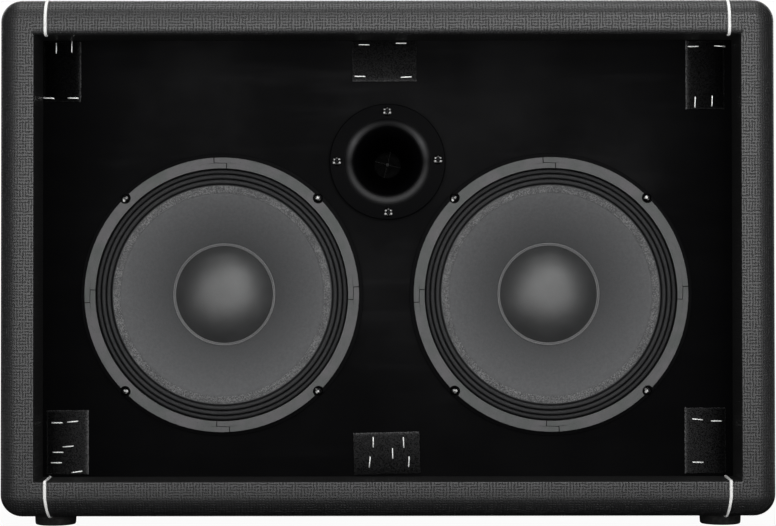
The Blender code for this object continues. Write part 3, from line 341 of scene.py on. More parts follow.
def piece(name, shapes, finish, body="cabinet", replaced=(), sharp=35):
    """One mesh object from closed shapes.

    Points that share a place become one, and a square that loses a corner becomes a triangle. The
    object rides on its body and may stand for solids.
    """
    shapes = [outwards(shape) for shape in shapes]
    starts = np.cumsum([0] + [len(points) for points, _, _ in shapes[:-1]])
    points = np.concatenate([shape[0] for shape in shapes])
    squares = np.concatenate([shape[1] + start for shape, start in zip(shapes, starts)])
    cloth = np.concatenate([shape[2] for shape in shapes])
    part = np.concatenate([np.full(len(shape[0]), n) for n, shape in enumerate(shapes)])
    group = same_places(np.column_stack([points, part]))
    used, number = np.unique(group, return_inverse=True)
    corners = number[squares]
    own = corners != np.roll(corners, 1, axis=1)
    whole = own.all(axis=1)
    cut = own.sum(axis=1) == 3
    triangles = corners[cut][own[cut]].reshape(-1, 3)
    mesh = bpy.data.meshes.new(name)
    mesh.from_pydata(points[used].tolist(), [], corners[whole].tolist() + triangles.tolist())
    layer = mesh.uv_layers.new(name="cloth")
    flat = np.concatenate([squares[whole].ravel(), squares[cut][own[cut]]])
    layer.data.foreach_set("uv", cloth[flat].ravel().astype(np.float32))
    mesh.shade_smooth()
    mesh.set_sharp_from_angle(angle=math.radians(sharp))
    mesh.materials.append(finish.material)
    made = bpy.data.objects.new(name, mesh)
    bpy.context.scene.collection.objects.link(made)
    if body:
        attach(made, body)
    if replaced:
        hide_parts(*replaced)
    return made


across_stops = np.linspace(-SEAM_X, SEAM_X, 13)
up_stops = np.array([-0.199, -0.13, -0.06, -0.0135, 0.03, 0.0735, 0.13, 0.199])
columns = round_the_box(across_stops, up_stops)
top_share = np.clip(np.sin(columns[:, 0]), 0, 1) ** 2
inner_round = LIP_ROUND + (TOP_LIP_ROUND - LIP_ROUND) * top_share
eased = np.maximum(inner_round - SKIN, 0.0001)
turn = arc(5)[:, None]
strip_inset = LIP - SKIN - eased * (1 - np.cos(turn))
strip_y = FRONT + SKIN + eased * (1 - np.sin(turn))
plain = np.zeros((1, len(columns)))
strip_inset = np.vstack([strip_inset, plain + STRIP_OUTER, plain + STRIP_OUTER, plain + LIP - SKIN])
strip_y = np.vstack([strip_y, plain + FRONT + SKIN, plain + BAFFLE - FIT, plain + BAFFLE - FIT])
strips, _ = on_the_box(strip_inset, strip_y, columns)
piece(
    "front_frame_strips",
    [grid(np.concatenate([strips, strips[:1]]))],
    birch,
    replaced=["front_frame"],
)

# Baffle board: plywood painted matt black by brush, with speaker holes. Its paint is worn faintly
# grey in long thin scratches and has fine specks of dust. Its colour is painted darker towards the
# recess's side walls and towards its bottom: painted shade.

paint = Finish("baffle_paint", (0.006, 0.006, 0.007), 0.75, specular=0.02)
paint_cloud = paint.noise(9, 5, 0.6)
paint_brush = paint.noise(60, 3, 0.5, paint.place((0.12, 1.0, 1.0)))
paint_dust = paint.noise(1400, 2, 0.6).rise(0.62, 0.8)
# painted shade: darker towards the recess's side walls and towards the bottom
painted_recess_shade = paint.along(0).size().rise(0.20, 0.315, 1.0, 0.05)
painted_recess_shade = painted_recess_shade * paint.along(2).rise(0.05, 0.30, 0.3, 1.0)
paint_worn = paint_cloud.rise(0.35, 0.75) * 0.45 + paint_brush.rise(0.5, 0.8) * 0.35 + paint_dust * 0.35
paint_wear_and_shade = (paint_worn + 0.25) * painted_recess_shade
paint.tint(paint_wear_and_shade, (0.0012, 0.0012, 0.0014), (0.0115, 0.0115, 0.012))
paint.take("Roughness", paint_brush.rise(0.3, 0.8, 0.66, 0.85))
paint.emboss(paint_brush * 0.7 + paint_cloud * 0.3, 0.0003)
dress(paint, "baffle_board")

# Vinyl covering: black coated cloth 0.9 mm thick, with an uneven woven grain pressed into it. It is
# glued round the box, rolled over the front and back edges and turned into both recesses, and it is
# cut out behind the handles. Its seams lie under the piping. Inside the front recess its colour is
# painted near black: painted shade.

FRONT_ROUND = 0.019
BACK_ROUND = 0.010
REAR_ROUND = 0.0015
REAR_LIP = 0.0124
VINYL = 0.0009
HANDLE_HOLE_Y = 0.0815
HANDLE_HOLE_Z = (-0.0135, 0.0735)
LIP_STOP = FRONT + 0.006
# the row of the covering's path at which the lip's flat front begins
LIP_FRONT_ROW = 11
REAR_END = 0.1843
# metres along the cloth, counted as from the cabinet's middle: below the first, in the front recess,
# its colour is painted near black as painted shade, and past the second it keeps its own colour
RECESS_SHADE = (0.190, 0.2035)
WARP_PITCH = 0.0026
WEFT_PITCH = 0.0028
WAVINESS = 0.0026


def over_the_box(start, inner_round, side_stops, end):
    """The covering's path from the front recess over the lip and the side to the back recess.

    Rows of (inset from the side, y, inset part of the normal, y part of the normal). The path runs
    straight along each face and turns each edge on a quarter circle: centre plus radius times the
    normal. The inner rounding may be an array, with one radius for each column of the sheet.
    """
    inner_round = np.asarray(inner_round, float)
    plain = np.zeros_like(inner_round)
    rows = []

    def straight(insets, ys, across, forward):
        normal = (across + plain, forward + plain)
        rows.extend((inset + plain, y + plain, *normal) for inset, y in zip(insets, ys))

    def rolled(inset, y, radius, across, forward):
        rows.extend(
            (inset + plain + radius * a, y + plain + radius * f, a + plain, f + plain)
            for a, f in zip(across, forward)
        )

    straight([LIP] * 3, [start, (start + LIP_STOP) / 2, LIP_STOP], 1, 0)
    turn = arc(8)
    rolled(LIP - inner_round, FRONT + inner_round, inner_round, np.cos(turn), -np.sin(turn))
    turn = arc(14)
    rolled(FRONT_ROUND, FRONT + FRONT_ROUND, FRONT_ROUND, -np.sin(turn), -np.cos(turn))
    straight([0.0] * len(side_stops), side_stops, -1, 0)
    rolled(BACK_ROUND, BACK - BACK_ROUND, BACK_ROUND, -np.cos(turn), np.sin(turn))
    turn = arc(3)
    rolled(REAR_LIP - REAR_ROUND, BACK - REAR_ROUND, REAR_ROUND, np.sin(turn), np.cos(turn))
    straight([REAR_LIP], [end], 1, 0)
    return np.array(rows)


vinyl = Finish("black_vinyl", (0.012, 0.012, 0.0125), 0.45, specular=0.75)
vinyl_where = vinyl.cloth()
vinyl_elsewhere = vinyl.add("Mapping", None, {0: vinyl_where, "Location": (0.37, 0.11, 0.0)})
vinyl_u = vinyl.along(0, vinyl_where) + (vinyl.noise(190, 2, 0.5, vinyl_where) - 0.5) * WAVINESS
vinyl_v = vinyl.along(1, vinyl_where) + (vinyl.noise(200, 2, 0.5, vinyl_elsewhere) - 0.5) * WAVINESS
vinyl_warp = (vinyl_u * (2 * math.pi / WARP_PITCH)).cosine()
vinyl_weft = (vinyl_v * (2 * math.pi / WEFT_PITCH)).cosine()
vinyl_lean = vinyl.noise(150, 2, 0.6, vinyl_elsewhere).rise(0.35, 0.65)
vinyl_net = vinyl_warp * (0.3 + vinyl_lean * 0.4) + vinyl_weft * (0.7 - vinyl_lean * 0.4)
vinyl_uneven = vinyl.noise(650, 3, 0.6, vinyl_where)
vinyl_pits = (vinyl_net + (vinyl_uneven - 0.5) * 1.6).rise(0.05, 0.6)
vinyl_lit = vinyl.along(0, vinyl_where).rise(*RECESS_SHADE)
vinyl_shade = vinyl.blend(vinyl_pits, (0.010, 0.0102, 0.0108), (0.0012, 0.0012, 0.0014))
# painted shade: in the front recess the cloth's colour is painted near black
vinyl.tint(vinyl_lit, (0.0006, 0.0006, 0.0006), vinyl_shade)
vinyl_rough = vinyl_pits * 0.22 + vinyl_uneven.rise(0.2, 0.8, 0.36, 0.44)
vinyl.take("Roughness", (1 - vinyl_lit) * 0.5 + vinyl_lit * vinyl_rough)
vinyl.emboss(1 - vinyl_pits, 0.0004)

side_stops = (-0.15, -0.12, -HANDLE_HOLE_Y, 0.0, HANDLE_HOLE_Y, 0.12, 0.15)
path = over_the_box(BAFFLE - FIT, inner_round, side_stops, REAR_END)
inset, y, inset_normal, y_normal = np.moveaxis(path, 1, 0)
outer, along = on_the_box(inset, y, columns)
inner, _ = on_the_box(inset - VINYL * inset_normal, y - VINYL * y_normal, columns)
steps = np.hypot(np.diff(inset, axis=0), np.diff(y, axis=0))
from_lip = np.vstack([np.zeros((1, len(columns))), np.cumsum(steps, axis=0)])
lip_edge = HALF_HEIGHT - LIP + inner_round - from_lip[LIP_FRONT_ROW]
middle_y = (y[:-1, :-1] + y[1:, 1:]) / 2
middle_z = (outer[:-1, :-1, 2] + outer[1:, 1:, 2]) / 2 - MIDDLE
on_side = (inset[:-1, :-1] == 0) & (inset[1:, 1:] == 0) & (np.abs(np.cos(columns[:-1, 0])) > 0.999)
low, high = HANDLE_HOLE_Z
in_hole = (np.abs(middle_y) < HANDLE_HOLE_Y) & (middle_z > low) & (middle_z < high)
cloth = np.stack([from_lip + lip_edge, along], axis=-1)
piece(
    "vinyl_sheet",
    [sheet(outer, inner, ~(on_side & in_hole), cloth)],
    vinyl,
    replaced=["vinyl_covering"],
)

# Back panel: a plywood board wrapped in the same cloth, its edges eased by it. Screws hold it in the
# rabbet at the back, and it has a window for the jacks.

PANEL_X = 0.3410
PANEL_Z = 0.2230
PANEL_FACE = 0.184
PANEL_BACK = 0.169
PANEL_EDGE = 0.0015
WINDOW_X = 0.056
WINDOW_Z = (-0.011, 0.051)

easing = PANEL_EDGE * np.array([0.0, 0.15, 0.4, 1.0])
x_stops = np.concatenate([-PANEL_X + easing, [-0.2, -WINDOW_X, 0.0, WINDOW_X, 0.2], PANEL_X - easing[::-1]])
z_stops = np.concatenate([-PANEL_Z + easing, [-0.11, *WINDOW_Z, 0.12], PANEL_Z - easing[::-1]])
x, z = np.meshgrid(x_stops, z_stops, indexing="ij")
edge = np.minimum(PANEL_X - np.abs(x), PANEL_Z - np.abs(z))
fall = PANEL_EDGE * (1 - np.sqrt(1 - np.clip(1 - edge / PANEL_EDGE, 0, 1) ** 2))
face = np.stack([x, PANEL_FACE - fall, z + MIDDLE], axis=-1)
under = np.stack([x, np.full_like(x, PANEL_BACK), z + MIDDLE], axis=-1)
middle_x, middle_z = (x[:-1, :-1] + x[1:, 1:]) / 2, (z[:-1, :-1] + z[1:, 1:]) / 2
in_window = (np.abs(middle_x) < WINDOW_X) & (middle_z > WINDOW_Z[0]) & (middle_z < WINDOW_Z[1])
piece(
    "back_panel_board",
    [sheet(face, under, ~in_window, np.stack([x + 1.0, z], axis=-1))],
    vinyl,
    replaced=["back_panel"],
)

# White piping: four crowned strips of soft plastic over the covering's seams. The upper two start just
# inside the lip and run over the top and into the back recess. The lower two start deep in the front
# recess, where they lean outwards, and end thinner in front of the feet.

PIPING_HALF = 0.0014
PIPING_SHOULDER = 0.0007
PIPING_CROWN = 0.0015
PIPING_LEAN = 0.050
# how far the lower strips' ends under the front lie inwards, and the share by which they are thinner
END_SHIFT = 0.0022
END_THINNING = 0.25
UPPER_START = FRONT + 0.0075
LOWER_START = BAFFLE - 0.008
LOWER_END = -0.172
LOWER_ROUND = 0.0015
PIPING_END = 0.185

piping = Finish("white_piping", (0.80, 0.80, 0.79), 0.42, specular=0.4)
piping_dirt = piping.noise(260, 4, 0.65)
piping.tint(piping_dirt.rise(0.5, 0.8), (0.83, 0.83, 0.82), (0.66, 0.655, 0.64))
piping.take("Roughness", piping_dirt.rise(0.3, 0.7, 0.36, 0.5))
piping.emboss(piping_dirt, 0.0001)


def carried(line, section, x, end, width=1.0):
    """A section carried along a path, with closed ends.

    line has rows of (inset, y, and the normal's two parts), section has rows of (across, height), and
    a point is the path's point plus height times its normal, set off sideways by across times the
    width. The x and the width may change along the path. end is 1 where the inset is measured down
    from the top, and -1 where it is measured up from the bottom.
    """
    inset, y, inset_normal, y_normal = (line[:, part, None] for part in range(4))
    across, height = section.T
    points_y = y + height * y_normal
    points_inset = inset + height * inset_normal
    z = MIDDLE + end * (HALF_HEIGHT - points_inset)
    x, width = (np.broadcast_to(value, len(line))[:, None] for value in (x, width))
    points = np.stack([x + across * width, points_y, z], axis=-1)
    caps = points[[0, -1], :-1].mean(axis=1, keepdims=True) + np.zeros((2, len(section), 3))
    return grid(np.concatenate([caps[:1], points, caps[1:]]))


crown = np.linspace(0, math.pi, 9)
crown_height = PIPING_SHOULDER + (PIPING_CROWN - PIPING_SHOULDER) * np.sin(crown)
crown_line = np.column_stack([-PIPING_HALF * np.cos(crown), crown_height])
piping_section = np.vstack([(-PIPING_HALF, FIT), crown_line, (PIPING_HALF, FIT)])
piping_section = np.vstack([piping_section, piping_section[:1]])
for side_name, side in (("left", -1), ("right", 1)):
    upper = over_the_box(UPPER_START, TOP_LIP_ROUND, (-0.15, 0.0, 0.15), PIPING_END)
    lower = over_the_box(LOWER_START, LOWER_ROUND, (LOWER_END,), PIPING_END)
    lower = lower[: np.flatnonzero(lower[:, 1] == LOWER_END)[0] + 1]
    down = np.clip(1 - lower[:, 0] / FRONT_ROUND, 0, 1)
    in_recess = lower[:, 0] > LIP - 0.001
    lean = np.where(in_recess, PIPING_LEAN * (lower[:, 1] - FRONT), -END_SHIFT * down)
    for end_name, end, line, x, width in (
        ("top", 1, upper, SEAM_X, 1.0),
        ("bottom", -1, lower, SEAM_X + lean, 1 - END_THINNING * down),
    ):
        piece(
            f"{end_name}_{side_name}_piping_strip",
            [carried(line, piping_section, side * x, end, width)],
            piping,
            replaced=[f"piping_{end_name}_{side_name}"],
        )

# Hook tape: six pieces of black hook tape, cut by hand and stapled to the baffle, which the grille's
# loop tape presses on. Each is a stiff woven strip with a field of tiny hooks, frayed edges and a pale
# selvage along the edge that faces the cabinet's middle. Its hooks are painted lighter towards the
# cabinet's middle and darker towards the recess walls, and the top tapes darker: painted shade.

TAPE_THICKNESS = 0.0025
TAPE_GRID = 0.001
HOOK_HEIGHT = 0.0006
FRAY = 0.0004
# how far the tape's edges droop, and how far in from an edge the droop and the pale selvage reach
DROOP = 0.0009
DROOP_REACH = 0.0008
SELVAGE_REACH = 0.0011
# side, end, width, height, gap at the side (or centre), gap at the end, turn, painted light, selvage
TAPES = {
    "top_left": (-1, 1, 0.0350, 0.0570, 0.0006, 0.0005, 0.0, 0.28, 0.5),
    "top_centre": (0, 1, 0.0608, 0.0380, -0.0029, 0.0005, 0.0, 1.5, 0.5),
    "top_right": (1, 1, 0.0365, 0.0643, 0.0066, 0.0005, 0.0, 0.75, 0.9),
    "bottom_left": (-1, -1, 0.0393, 0.0599, 0.0036, 0.0023, 0.0, 2.0, 1.3),
    "bottom_centre": (0, -1, 0.0620, 0.0392, -0.0010, 0.0020, math.radians(-1.4), 2.3, 0.6),
    "bottom_right": (1, -1, 0.0384, 0.0617, 0.0066, 0.0023, 0.0, 2.1, 0.8),
}

tape = Finish("hook_tape", (0.006, 0.006, 0.006), 0.95, specular=0.0)
tape_hooks = tape.cells(750).rise(0.1, 0.6)
tape_fluff = tape.noise(500, 4, 0.7).rise(0.45, 0.7)
tape_cloth = tape.cloth()
# painted light: the hooks are painted lighter by each tape's own amount, most towards the middle
tape_fluff_and_light = (tape_hooks * 0.5 + tape_fluff * 0.5) * tape.along(0, tape_cloth)
tape_face = tape.blend(tape_fluff_and_light, (0.0006, 0.0006, 0.0007), (0.026, 0.026, 0.0265))
tape_edge = (tape_hooks * 0.7 + 0.3) * tape.along(1, tape_cloth)
tape.tint(tape_edge, tape_face, (0.15, 0.15, 0.152))
tape.take("Roughness", tape_fluff.rise(0.0, 1.0, 0.85, 0.95))
tape.emboss(tape_hooks + tape_fluff, 0.0006)

# On a grid of one millimetre, random heights stand for the hooks, and a random rim for the fray.
cut_marks = np.random.default_rng(5)
for tape_name, tape_size in TAPES.items():
    side, end, width, height, side_gap, end_gap, turn, painted_light, selvage = tape_size
    centre_x = side * (HALF_WIDTH - LIP - side_gap - width / 2) if side else side_gap
    centre_z = MIDDLE + end * (HALF_HEIGHT - LIP - end_gap - height / 2)
    u = np.linspace(-width / 2, width / 2, int(width / TAPE_GRID))[:, None]
    v = np.linspace(-height / 2, height / 2, int(height / TAPE_GRID))[None, :]
    edge = np.minimum(width / 2 - np.abs(u), height / 2 - np.abs(v))
    fluff = cut_marks.random(edge.shape)
    fray = np.where(edge < 1e-6, cut_marks.uniform(-FRAY, 0.0, edge.shape), 0.0)
    shrink = 1 + fray / (min(width, height) / 2)
    out = TAPE_THICKNESS - HOOK_HEIGHT * fluff - DROOP * np.exp(-edge / DROOP_REACH)
    x = (u * math.cos(turn) + v * math.sin(turn)) * shrink + centre_x
    z = (v * math.cos(turn) - u * math.sin(turn)) * shrink + centre_z
    face = np.stack([x, BAFFLE - FIT - out, z], axis=-1)
    under = np.stack([x, np.full_like(x, BAFFLE - FIT), z], axis=-1)
    inward = width / 2 - side * u + 0 * v if side else height / 2 - end * v + 0 * u
    across = width if side else height
    low = 0.05 if side else 0.25
    # painted shade: the painted light falls off towards the tape's outer edge, near the recess walls
    painted_lit_share = painted_light * (low + (1 - low) * inward / across)
    bright = selvage * np.exp(-(across - inward) / SELVAGE_REACH) + 0.25 * selvage * np.exp(-edge / 0.0006)
    piece(
        f"{tape_name}_tape",
        [sheet(face, under, None, np.stack([painted_lit_share, bright], axis=-1))],
        tape,
        replaced=[f"{tape_name}_hook_tape"],
        sharp=80,
    )

# Staples: crowns of bright steel wire, about 10 mm long, whose legs go through the tape into the
# baffle. They were driven by hand, so no two lie quite alike.

STAPLE_LENGTH = 0.0100
STAPLE_WIRE = 0.0006
# pixels to a metre on the tapes' face, the column at x = 0, and a row with its height over the middle
FACE_SCALE = 1070.5
MIDDLE_COLUMN = 387.6
LEVEL_ROW = 250
LEVEL_HEIGHT = 0.0076
# column and row of each crown's middle in the 776 by 526 frame, and its lean in degrees
STAPLES = {
    "top_left": ((57, 48, 90), (72.5, 47, 89), (49.5, 98, -2), (74, 98, 0)),
    "top_centre": ((364.3, 45.0, -1), (401.3, 43.6, 0), (360.3, 76.7, -1), (406.4, 77.4, 3)),
    "top_right": ((693, 47.2, 1), (719.4, 46.9, -3), (694.7, 102.8, 88), (711.7, 101.6, 88)),
    "bottom_left": (
        (58, 421.8, -0.5), (73.5, 420.7, 5), (69, 445.4, 4), (59, 451.2, 0), (57.5, 461.6, 0), (78, 470.6, 8)
    ),
    "bottom_centre": (
        (373, 441.5, 90), (403.2, 441.6, 93), (392.3, 452.7, 91.5), (369.5, 461.2, 84.5), (408.5, 460.9, 87.5)
    ),
    "bottom_right": ((696.2, 419.2, -5), (715, 420.8, -0.5), (696.6, 461.9, -1)),
}

wire = Finish("staple_wire", (0.95, 0.95, 0.94), 0.4, metallic=0.55)
wire_scuff = wire.noise(900, 3, 0.6)
wire.take("Roughness", wire_scuff.rise(0.2, 0.8, 0.32, 0.5))
wire.emboss(wire_scuff, 0.00005)


def baffle_place(column, row):
    """(x, z) on the tapes' face of a point seen in the frame: offset over the scale there."""
    return (column - MIDDLE_COLUMN) / FACE_SCALE, MIDDLE + LEVEL_HEIGHT + (LEVEL_ROW - row) / FACE_SCALE


def tube(path, radius, steps=8):
    """A round wire along a path, with closed ends.

    Each ring is the path's point plus radius times (cosine of one side vector, sine of the other),
    where both side vectors stand square to the path.
    """
    ahead = np.gradient(path, axis=0)
    ahead = ahead / np.linalg.norm(ahead, axis=1, keepdims=True)
    guide = np.array([0.31, 0.87, 0.38])
    first = np.cross(ahead, guide)
    first = first / np.linalg.norm(first, axis=1, keepdims=True)
    second = np.cross(ahead, first)
    turn = np.linspace(0, 2 * math.pi, steps + 1)
    turn[-1] = 0
    rings = path[:, None] + radius * (
        first[:, None] * np.cos(turn)[:, None] + second[:, None] * np.sin(turn)[:, None]
    )
    caps = path[[0, -1], None] + np.zeros((2, steps + 1, 3))
    return grid(np.concatenate([caps[:1], rings, caps[1:]]))


for tape_name, marks in STAPLES.items():
    crowns = []
    for column, row, lean in marks:
        x, z = baffle_place(column, row)
        lean = math.radians(lean)
        bend = np.array([-1.0, -0.995, -0.93, -0.8, -0.4, 0.0, 0.4, 0.8, 0.93, 0.995, 1.0])
        height = np.array([-0.0012, -0.0006, 0.0, 0.0002, 0.00025])
        height = np.concatenate([height, [0.0003], height[::-1]])
        reach = bend * STAPLE_LENGTH / 2
        across, up = x + reach * math.cos(lean), z + reach * math.sin(lean)
        path = np.column_stack([across, BAFFLE - TAPE_THICKNESS - height, up])
        crowns.append(tube(path, STAPLE_WIRE))
    piece(f"{tape_name}_staples", crowns, wire)

# Woofer frames: each is pressed from black steel sheet, with six windows between its arms and the
# steel top plate of the magnet in its seat. Its flange lies on the baffle round the hole.

WOOFER_Z = 0.2121
WOOFERS = {"left": -0.1543, "right": 0.1519}
RING_STEPS = 144
WINDOW_ROW = 6
WINDOW_HALF = 17

FACINGS = {
    "front": ((1, 0, 0), (0, 0, 1), (0, -1, 0)),
    "back": ((-1, 0, 0), (0, 0, 1), (0, 1, 0)),
    "left": ((0, -1, 0), (0, 0, 1), (-1, 0, 0)),
    "right": ((0, 1, 0), (0, 0, 1), (1, 0, 0)),
    "down": ((1, 0, 0), (0, -1, 0), (0, 0, -1)),
}


def facing(local, centre, side):
    """Local (across, up, out) points, put at a centre with out pointing to one side of the box."""
    return np.asarray(local) @ np.array(FACINGS[side], float) + np.asarray(centre, float)


def turned(profile, steps, start=0.0, end=2 * math.pi):
    """A profile of (radius, height) rows turned about the out axis: radius times cosine and sine."""
    profile = np.asarray(profile, float)
    turn = np.linspace(start, end, steps + 1)
    if end - start == 2 * math.pi:
        turn[-1] = turn[0]
    radius, height = profile[:, 0, None], profile[:, 1, None]
    return np.stack([radius * np.cos(turn), radius * np.sin(turn), height + 0 * turn], axis=-1)


def ring(profile, steps, centre, side):
    """A closed profile, turned all the way round and put in its place."""
    profile = np.vstack([profile, profile[:1]])
    return grid(facing(turned(profile, steps), centre, side))


def disc(profile, steps, centre, side):
    """A profile that starts and ends on the axis, turned all the way round."""
    return grid(facing(turned(profile, steps), centre, side))


frame_steel = Finish("frame_steel", (0.003, 0.003, 0.004), 0.55, specular=0.035)
frame_peel = frame_steel.noise(900, 2, 0.5)
frame_steel.tint(frame_peel, (0.001, 0.001, 0.0012), (0.005, 0.005, 0.0055))
frame_steel.take("Roughness", frame_peel.rise(0.3, 0.7, 0.45, 0.6))
frame_steel.emboss(frame_peel, 0.00012)

frame_line = np.array(
    [
        (0.1315, 0.0014), (0.1309, 0.0018), (0.1190, 0.0018), (0.1178, 0.0012), (0.1173, 0.0),
        (0.1160, -0.0100), (0.1118, -0.0264), (0.0840, -0.0585), (0.0790, -0.0624), (0.0675, -0.0624),
        (0.0655, -0.0710), (0.0400, -0.0710),
    ]
)
frame_back = frame_line + np.array(
    [
        (0.0, -0.0011), (0.0, -0.0015), (0.0, -0.0015), (0.0011, -0.0011), (0.0016, -0.0006),
        (0.0016, 0.0), (0.0016, 0.0), (0.0012, -0.0012), (0.0010, -0.0016), (0.0010, -0.0016),
        (0.0016, -0.0016), (0.0, -0.0016),
    ]
)
for side_name, x in WOOFERS.items():
    centre = (x, BAFFLE, WOOFER_Z)
    turn = np.linspace(0, 360, RING_STEPS + 1)[:-1] + 180 / RING_STEPS
    in_window = np.abs((turn + 30) % 60 - 30) < WINDOW_HALF
    kept = np.ones((len(frame_line) - 1, RING_STEPS), bool)
    kept[WINDOW_ROW] = ~in_window
    front_face = facing(turned(frame_line, RING_STEPS), centre, "front")
    back_face = facing(turned(frame_back, RING_STEPS), centre, "front")
    plate = [(0.060, -0.0728), (0.060, -0.0789), (0.0592, -0.0790), (0.0346, -0.0790), (0.0346, -0.0728)]
    piece(
        f"{side_name}_frame",
        [sheet(front_face, back_face, kept), ring(plate, 96, centre, "front")],
        frame_steel,
        replaced=[f"{side_name}_basket"],
    )

# Gaskets: each is a ring of dense grey paper board glued on the flange, in four quarter pieces whose
# ends meet in stepped joints, with a half-round notch open to the outside for each mounting screw.

GASKET_INNER = 0.1174
GASKET_OUTER = 0.1278
GASKET_TOP = 0.0065
GASKET_BOTTOM = 0.0022
NOTCH = 0.0052
SCREW_CIRCLE = 0.1272
INNER_CUT = math.radians(-2.2)
OUTER_CUT = math.radians(3.3)
JOINT_GAP = 0.0003
STEP_GAP = 0.045
JOINT_TURNS = np.array([0.0, 0.004, 0.05, 0.088])

gasket = Finish("grey_gasket", (0.115, 0.118, 0.120), 0.85, specular=0.06)
gasket_wall_shade = gasket.along(0, gasket.cloth())
gasket_fibre = gasket.noise(700, 4, 0.65)
gasket_cloud = gasket.noise(45, 3, 0.6)
gasket_shade = gasket.blend(gasket_cloud.rise(0.3, 0.7), (0.102, 0.108, 0.105), (0.127, 0.123, 0.128))
gasket_shade = gasket.blend(gasket_fibre.rise(0.55, 0.85), gasket_shade, (0.070, 0.073, 0.075))
# the cut walls are painted near black: dark joints, and painted shade along the ring's edges
gasket.tint(gasket_wall_shade, gasket_shade, (0.012, 0.012, 0.012))
gasket.take("Roughness", gasket_fibre.rise(0.2, 0.8, 0.78, 0.92))
gasket.emboss(gasket_fibre, 0.00015)


def gasket_quarter(centre, start):
    """One quarter of a gasket: a flat arc whose outer edge dips round its screw.

    The outer radius is the gasket's own, or near the screw the circle's near side: R cos(a) minus
    the root of n squared minus (R sin(a)) squared. The inner half is shifted back at both ends and
    the outer half forward, and the shift fades towards the screw. Along the step of a joint, the
    end of each half draws back from its neighbour by a share of the width. The place on the cloth
    is 1 on the cut walls and 0 on the face, and the finish paints the walls near black: the dark
    joints at the ends, and painted shade on the inner and outer walls.
    """
    notch_turn = math.asin(NOTCH / SCREW_CIRCLE)
    dip = notch_turn * np.sin(np.linspace(-math.pi / 2, math.pi / 2, 17))
    dip_height = np.sqrt(np.maximum(NOTCH**2 - (SCREW_CIRCLE * np.sin(dip)) ** 2, 0))
    dip_radius = SCREW_CIRCLE * np.cos(dip) - dip_height
    before = np.linspace(0.095 - math.pi / 4, -notch_turn, 12)
    before = np.concatenate([JOINT_TURNS - math.pi / 4, before])
    turn = np.concatenate([before, dip, -before[::-1]])
    rim = np.full(16, GASKET_OUTER)
    outer_radius = np.concatenate([rim, dip_radius, rim])
    share = np.array([0.0, 0.0, 0.03, 0.25, 0.5, 0.5, 0.75, 0.97, 1.0, 1.0])
    step = np.array([0, 0, 0, 0, 0, 1, 1, 1, 1, 1])
    top = GASKET_TOP - np.array([0.0044, 0.0006, 0.0, 0.0, 0.0, 0.0, 0.0, 0.0, 0.0006, 0.0044])
    share = share[:, None] + 0 * turn
    share[5, -4:] += STEP_GAP
    share[4, :4] -= STEP_GAP
    radius = GASKET_INNER + share * (outer_radius - GASKET_INNER)
    fade = np.clip((np.abs(turn) - 0.2) / (math.pi / 4 - 0.2), 0, 1)
    shift = (INNER_CUT + step[:, None] * (OUTER_CUT - INNER_CUT)) * fade
    close = -np.sign(turn) * (np.abs(turn) > math.pi / 4 - 1e-6) * JOINT_GAP / GASKET_OUTER
    angle = start + math.pi / 4 + turn + shift + close
    across, up = radius * np.cos(angle), radius * np.sin(angle)
    face = np.stack([across, up, top[:, None] + 0 * angle], axis=-1)
    under = np.stack([across, up, GASKET_BOTTOM + 0 * angle], axis=-1)
    face[0, :, 2] = GASKET_BOTTOM + 0.0001
    face[-1, :, 2] = GASKET_BOTTOM + 0.0001
    wall = np.array([1.0, 0.9, 0, 0, 0, 0, 0, 0, 0.6, 1.0])[:, None] + 0 * turn
    wall[:, [0, -1]] = 1.0
    cloth = np.stack([wall, 0 * wall], axis=-1)
    return sheet(facing(face, centre, "front"), facing(under, centre, "front"), None, cloth)


for side_name, x in WOOFERS.items():
    centre = (x, BAFFLE, WOOFER_Z)
    quarters = [gasket_quarter(centre, quarter * math.pi / 2) for quarter in range(4)]
    replaced = [f"{side_name}_gasket"]
    piece(f"{side_name}_gasket_ring", quarters, gasket, replaced=replaced, sharp=40)

# Mounting screws: black zinc-plated pan heads with cross recesses, four round each woofer. Each
# head has faint specks of wear, and a few small spots and a faint ring round its recess painted
# near white: painted highlights.

black_zinc = Finish("black_zinc", (0.018, 0.018, 0.019), 0.25, metallic=0.9)
zinc_wear = black_zinc.noise(800, 3, 0.6)
# painted highlight: where the cloth says so, the head is painted near white and not metallic
zinc_painted_highlight = black_zinc.along(0, black_zinc.cloth())
zinc_highlight_and_wear = (zinc_painted_highlight + zinc_wear.rise(0.6, 0.85) * 0.04).least(1.0)
black_zinc.tint(zinc_highlight_and_wear, (0.004, 0.004, 0.0045), (0.95, 0.95, 0.94))
black_zinc.take("Metallic", (1 - zinc_painted_highlight.least(1.0)) * 0.9)
black_zinc.take("Roughness", zinc_wear.rise(0.2, 0.8, 0.2, 0.36))
black_zinc.emboss(zinc_wear, 0.00006)


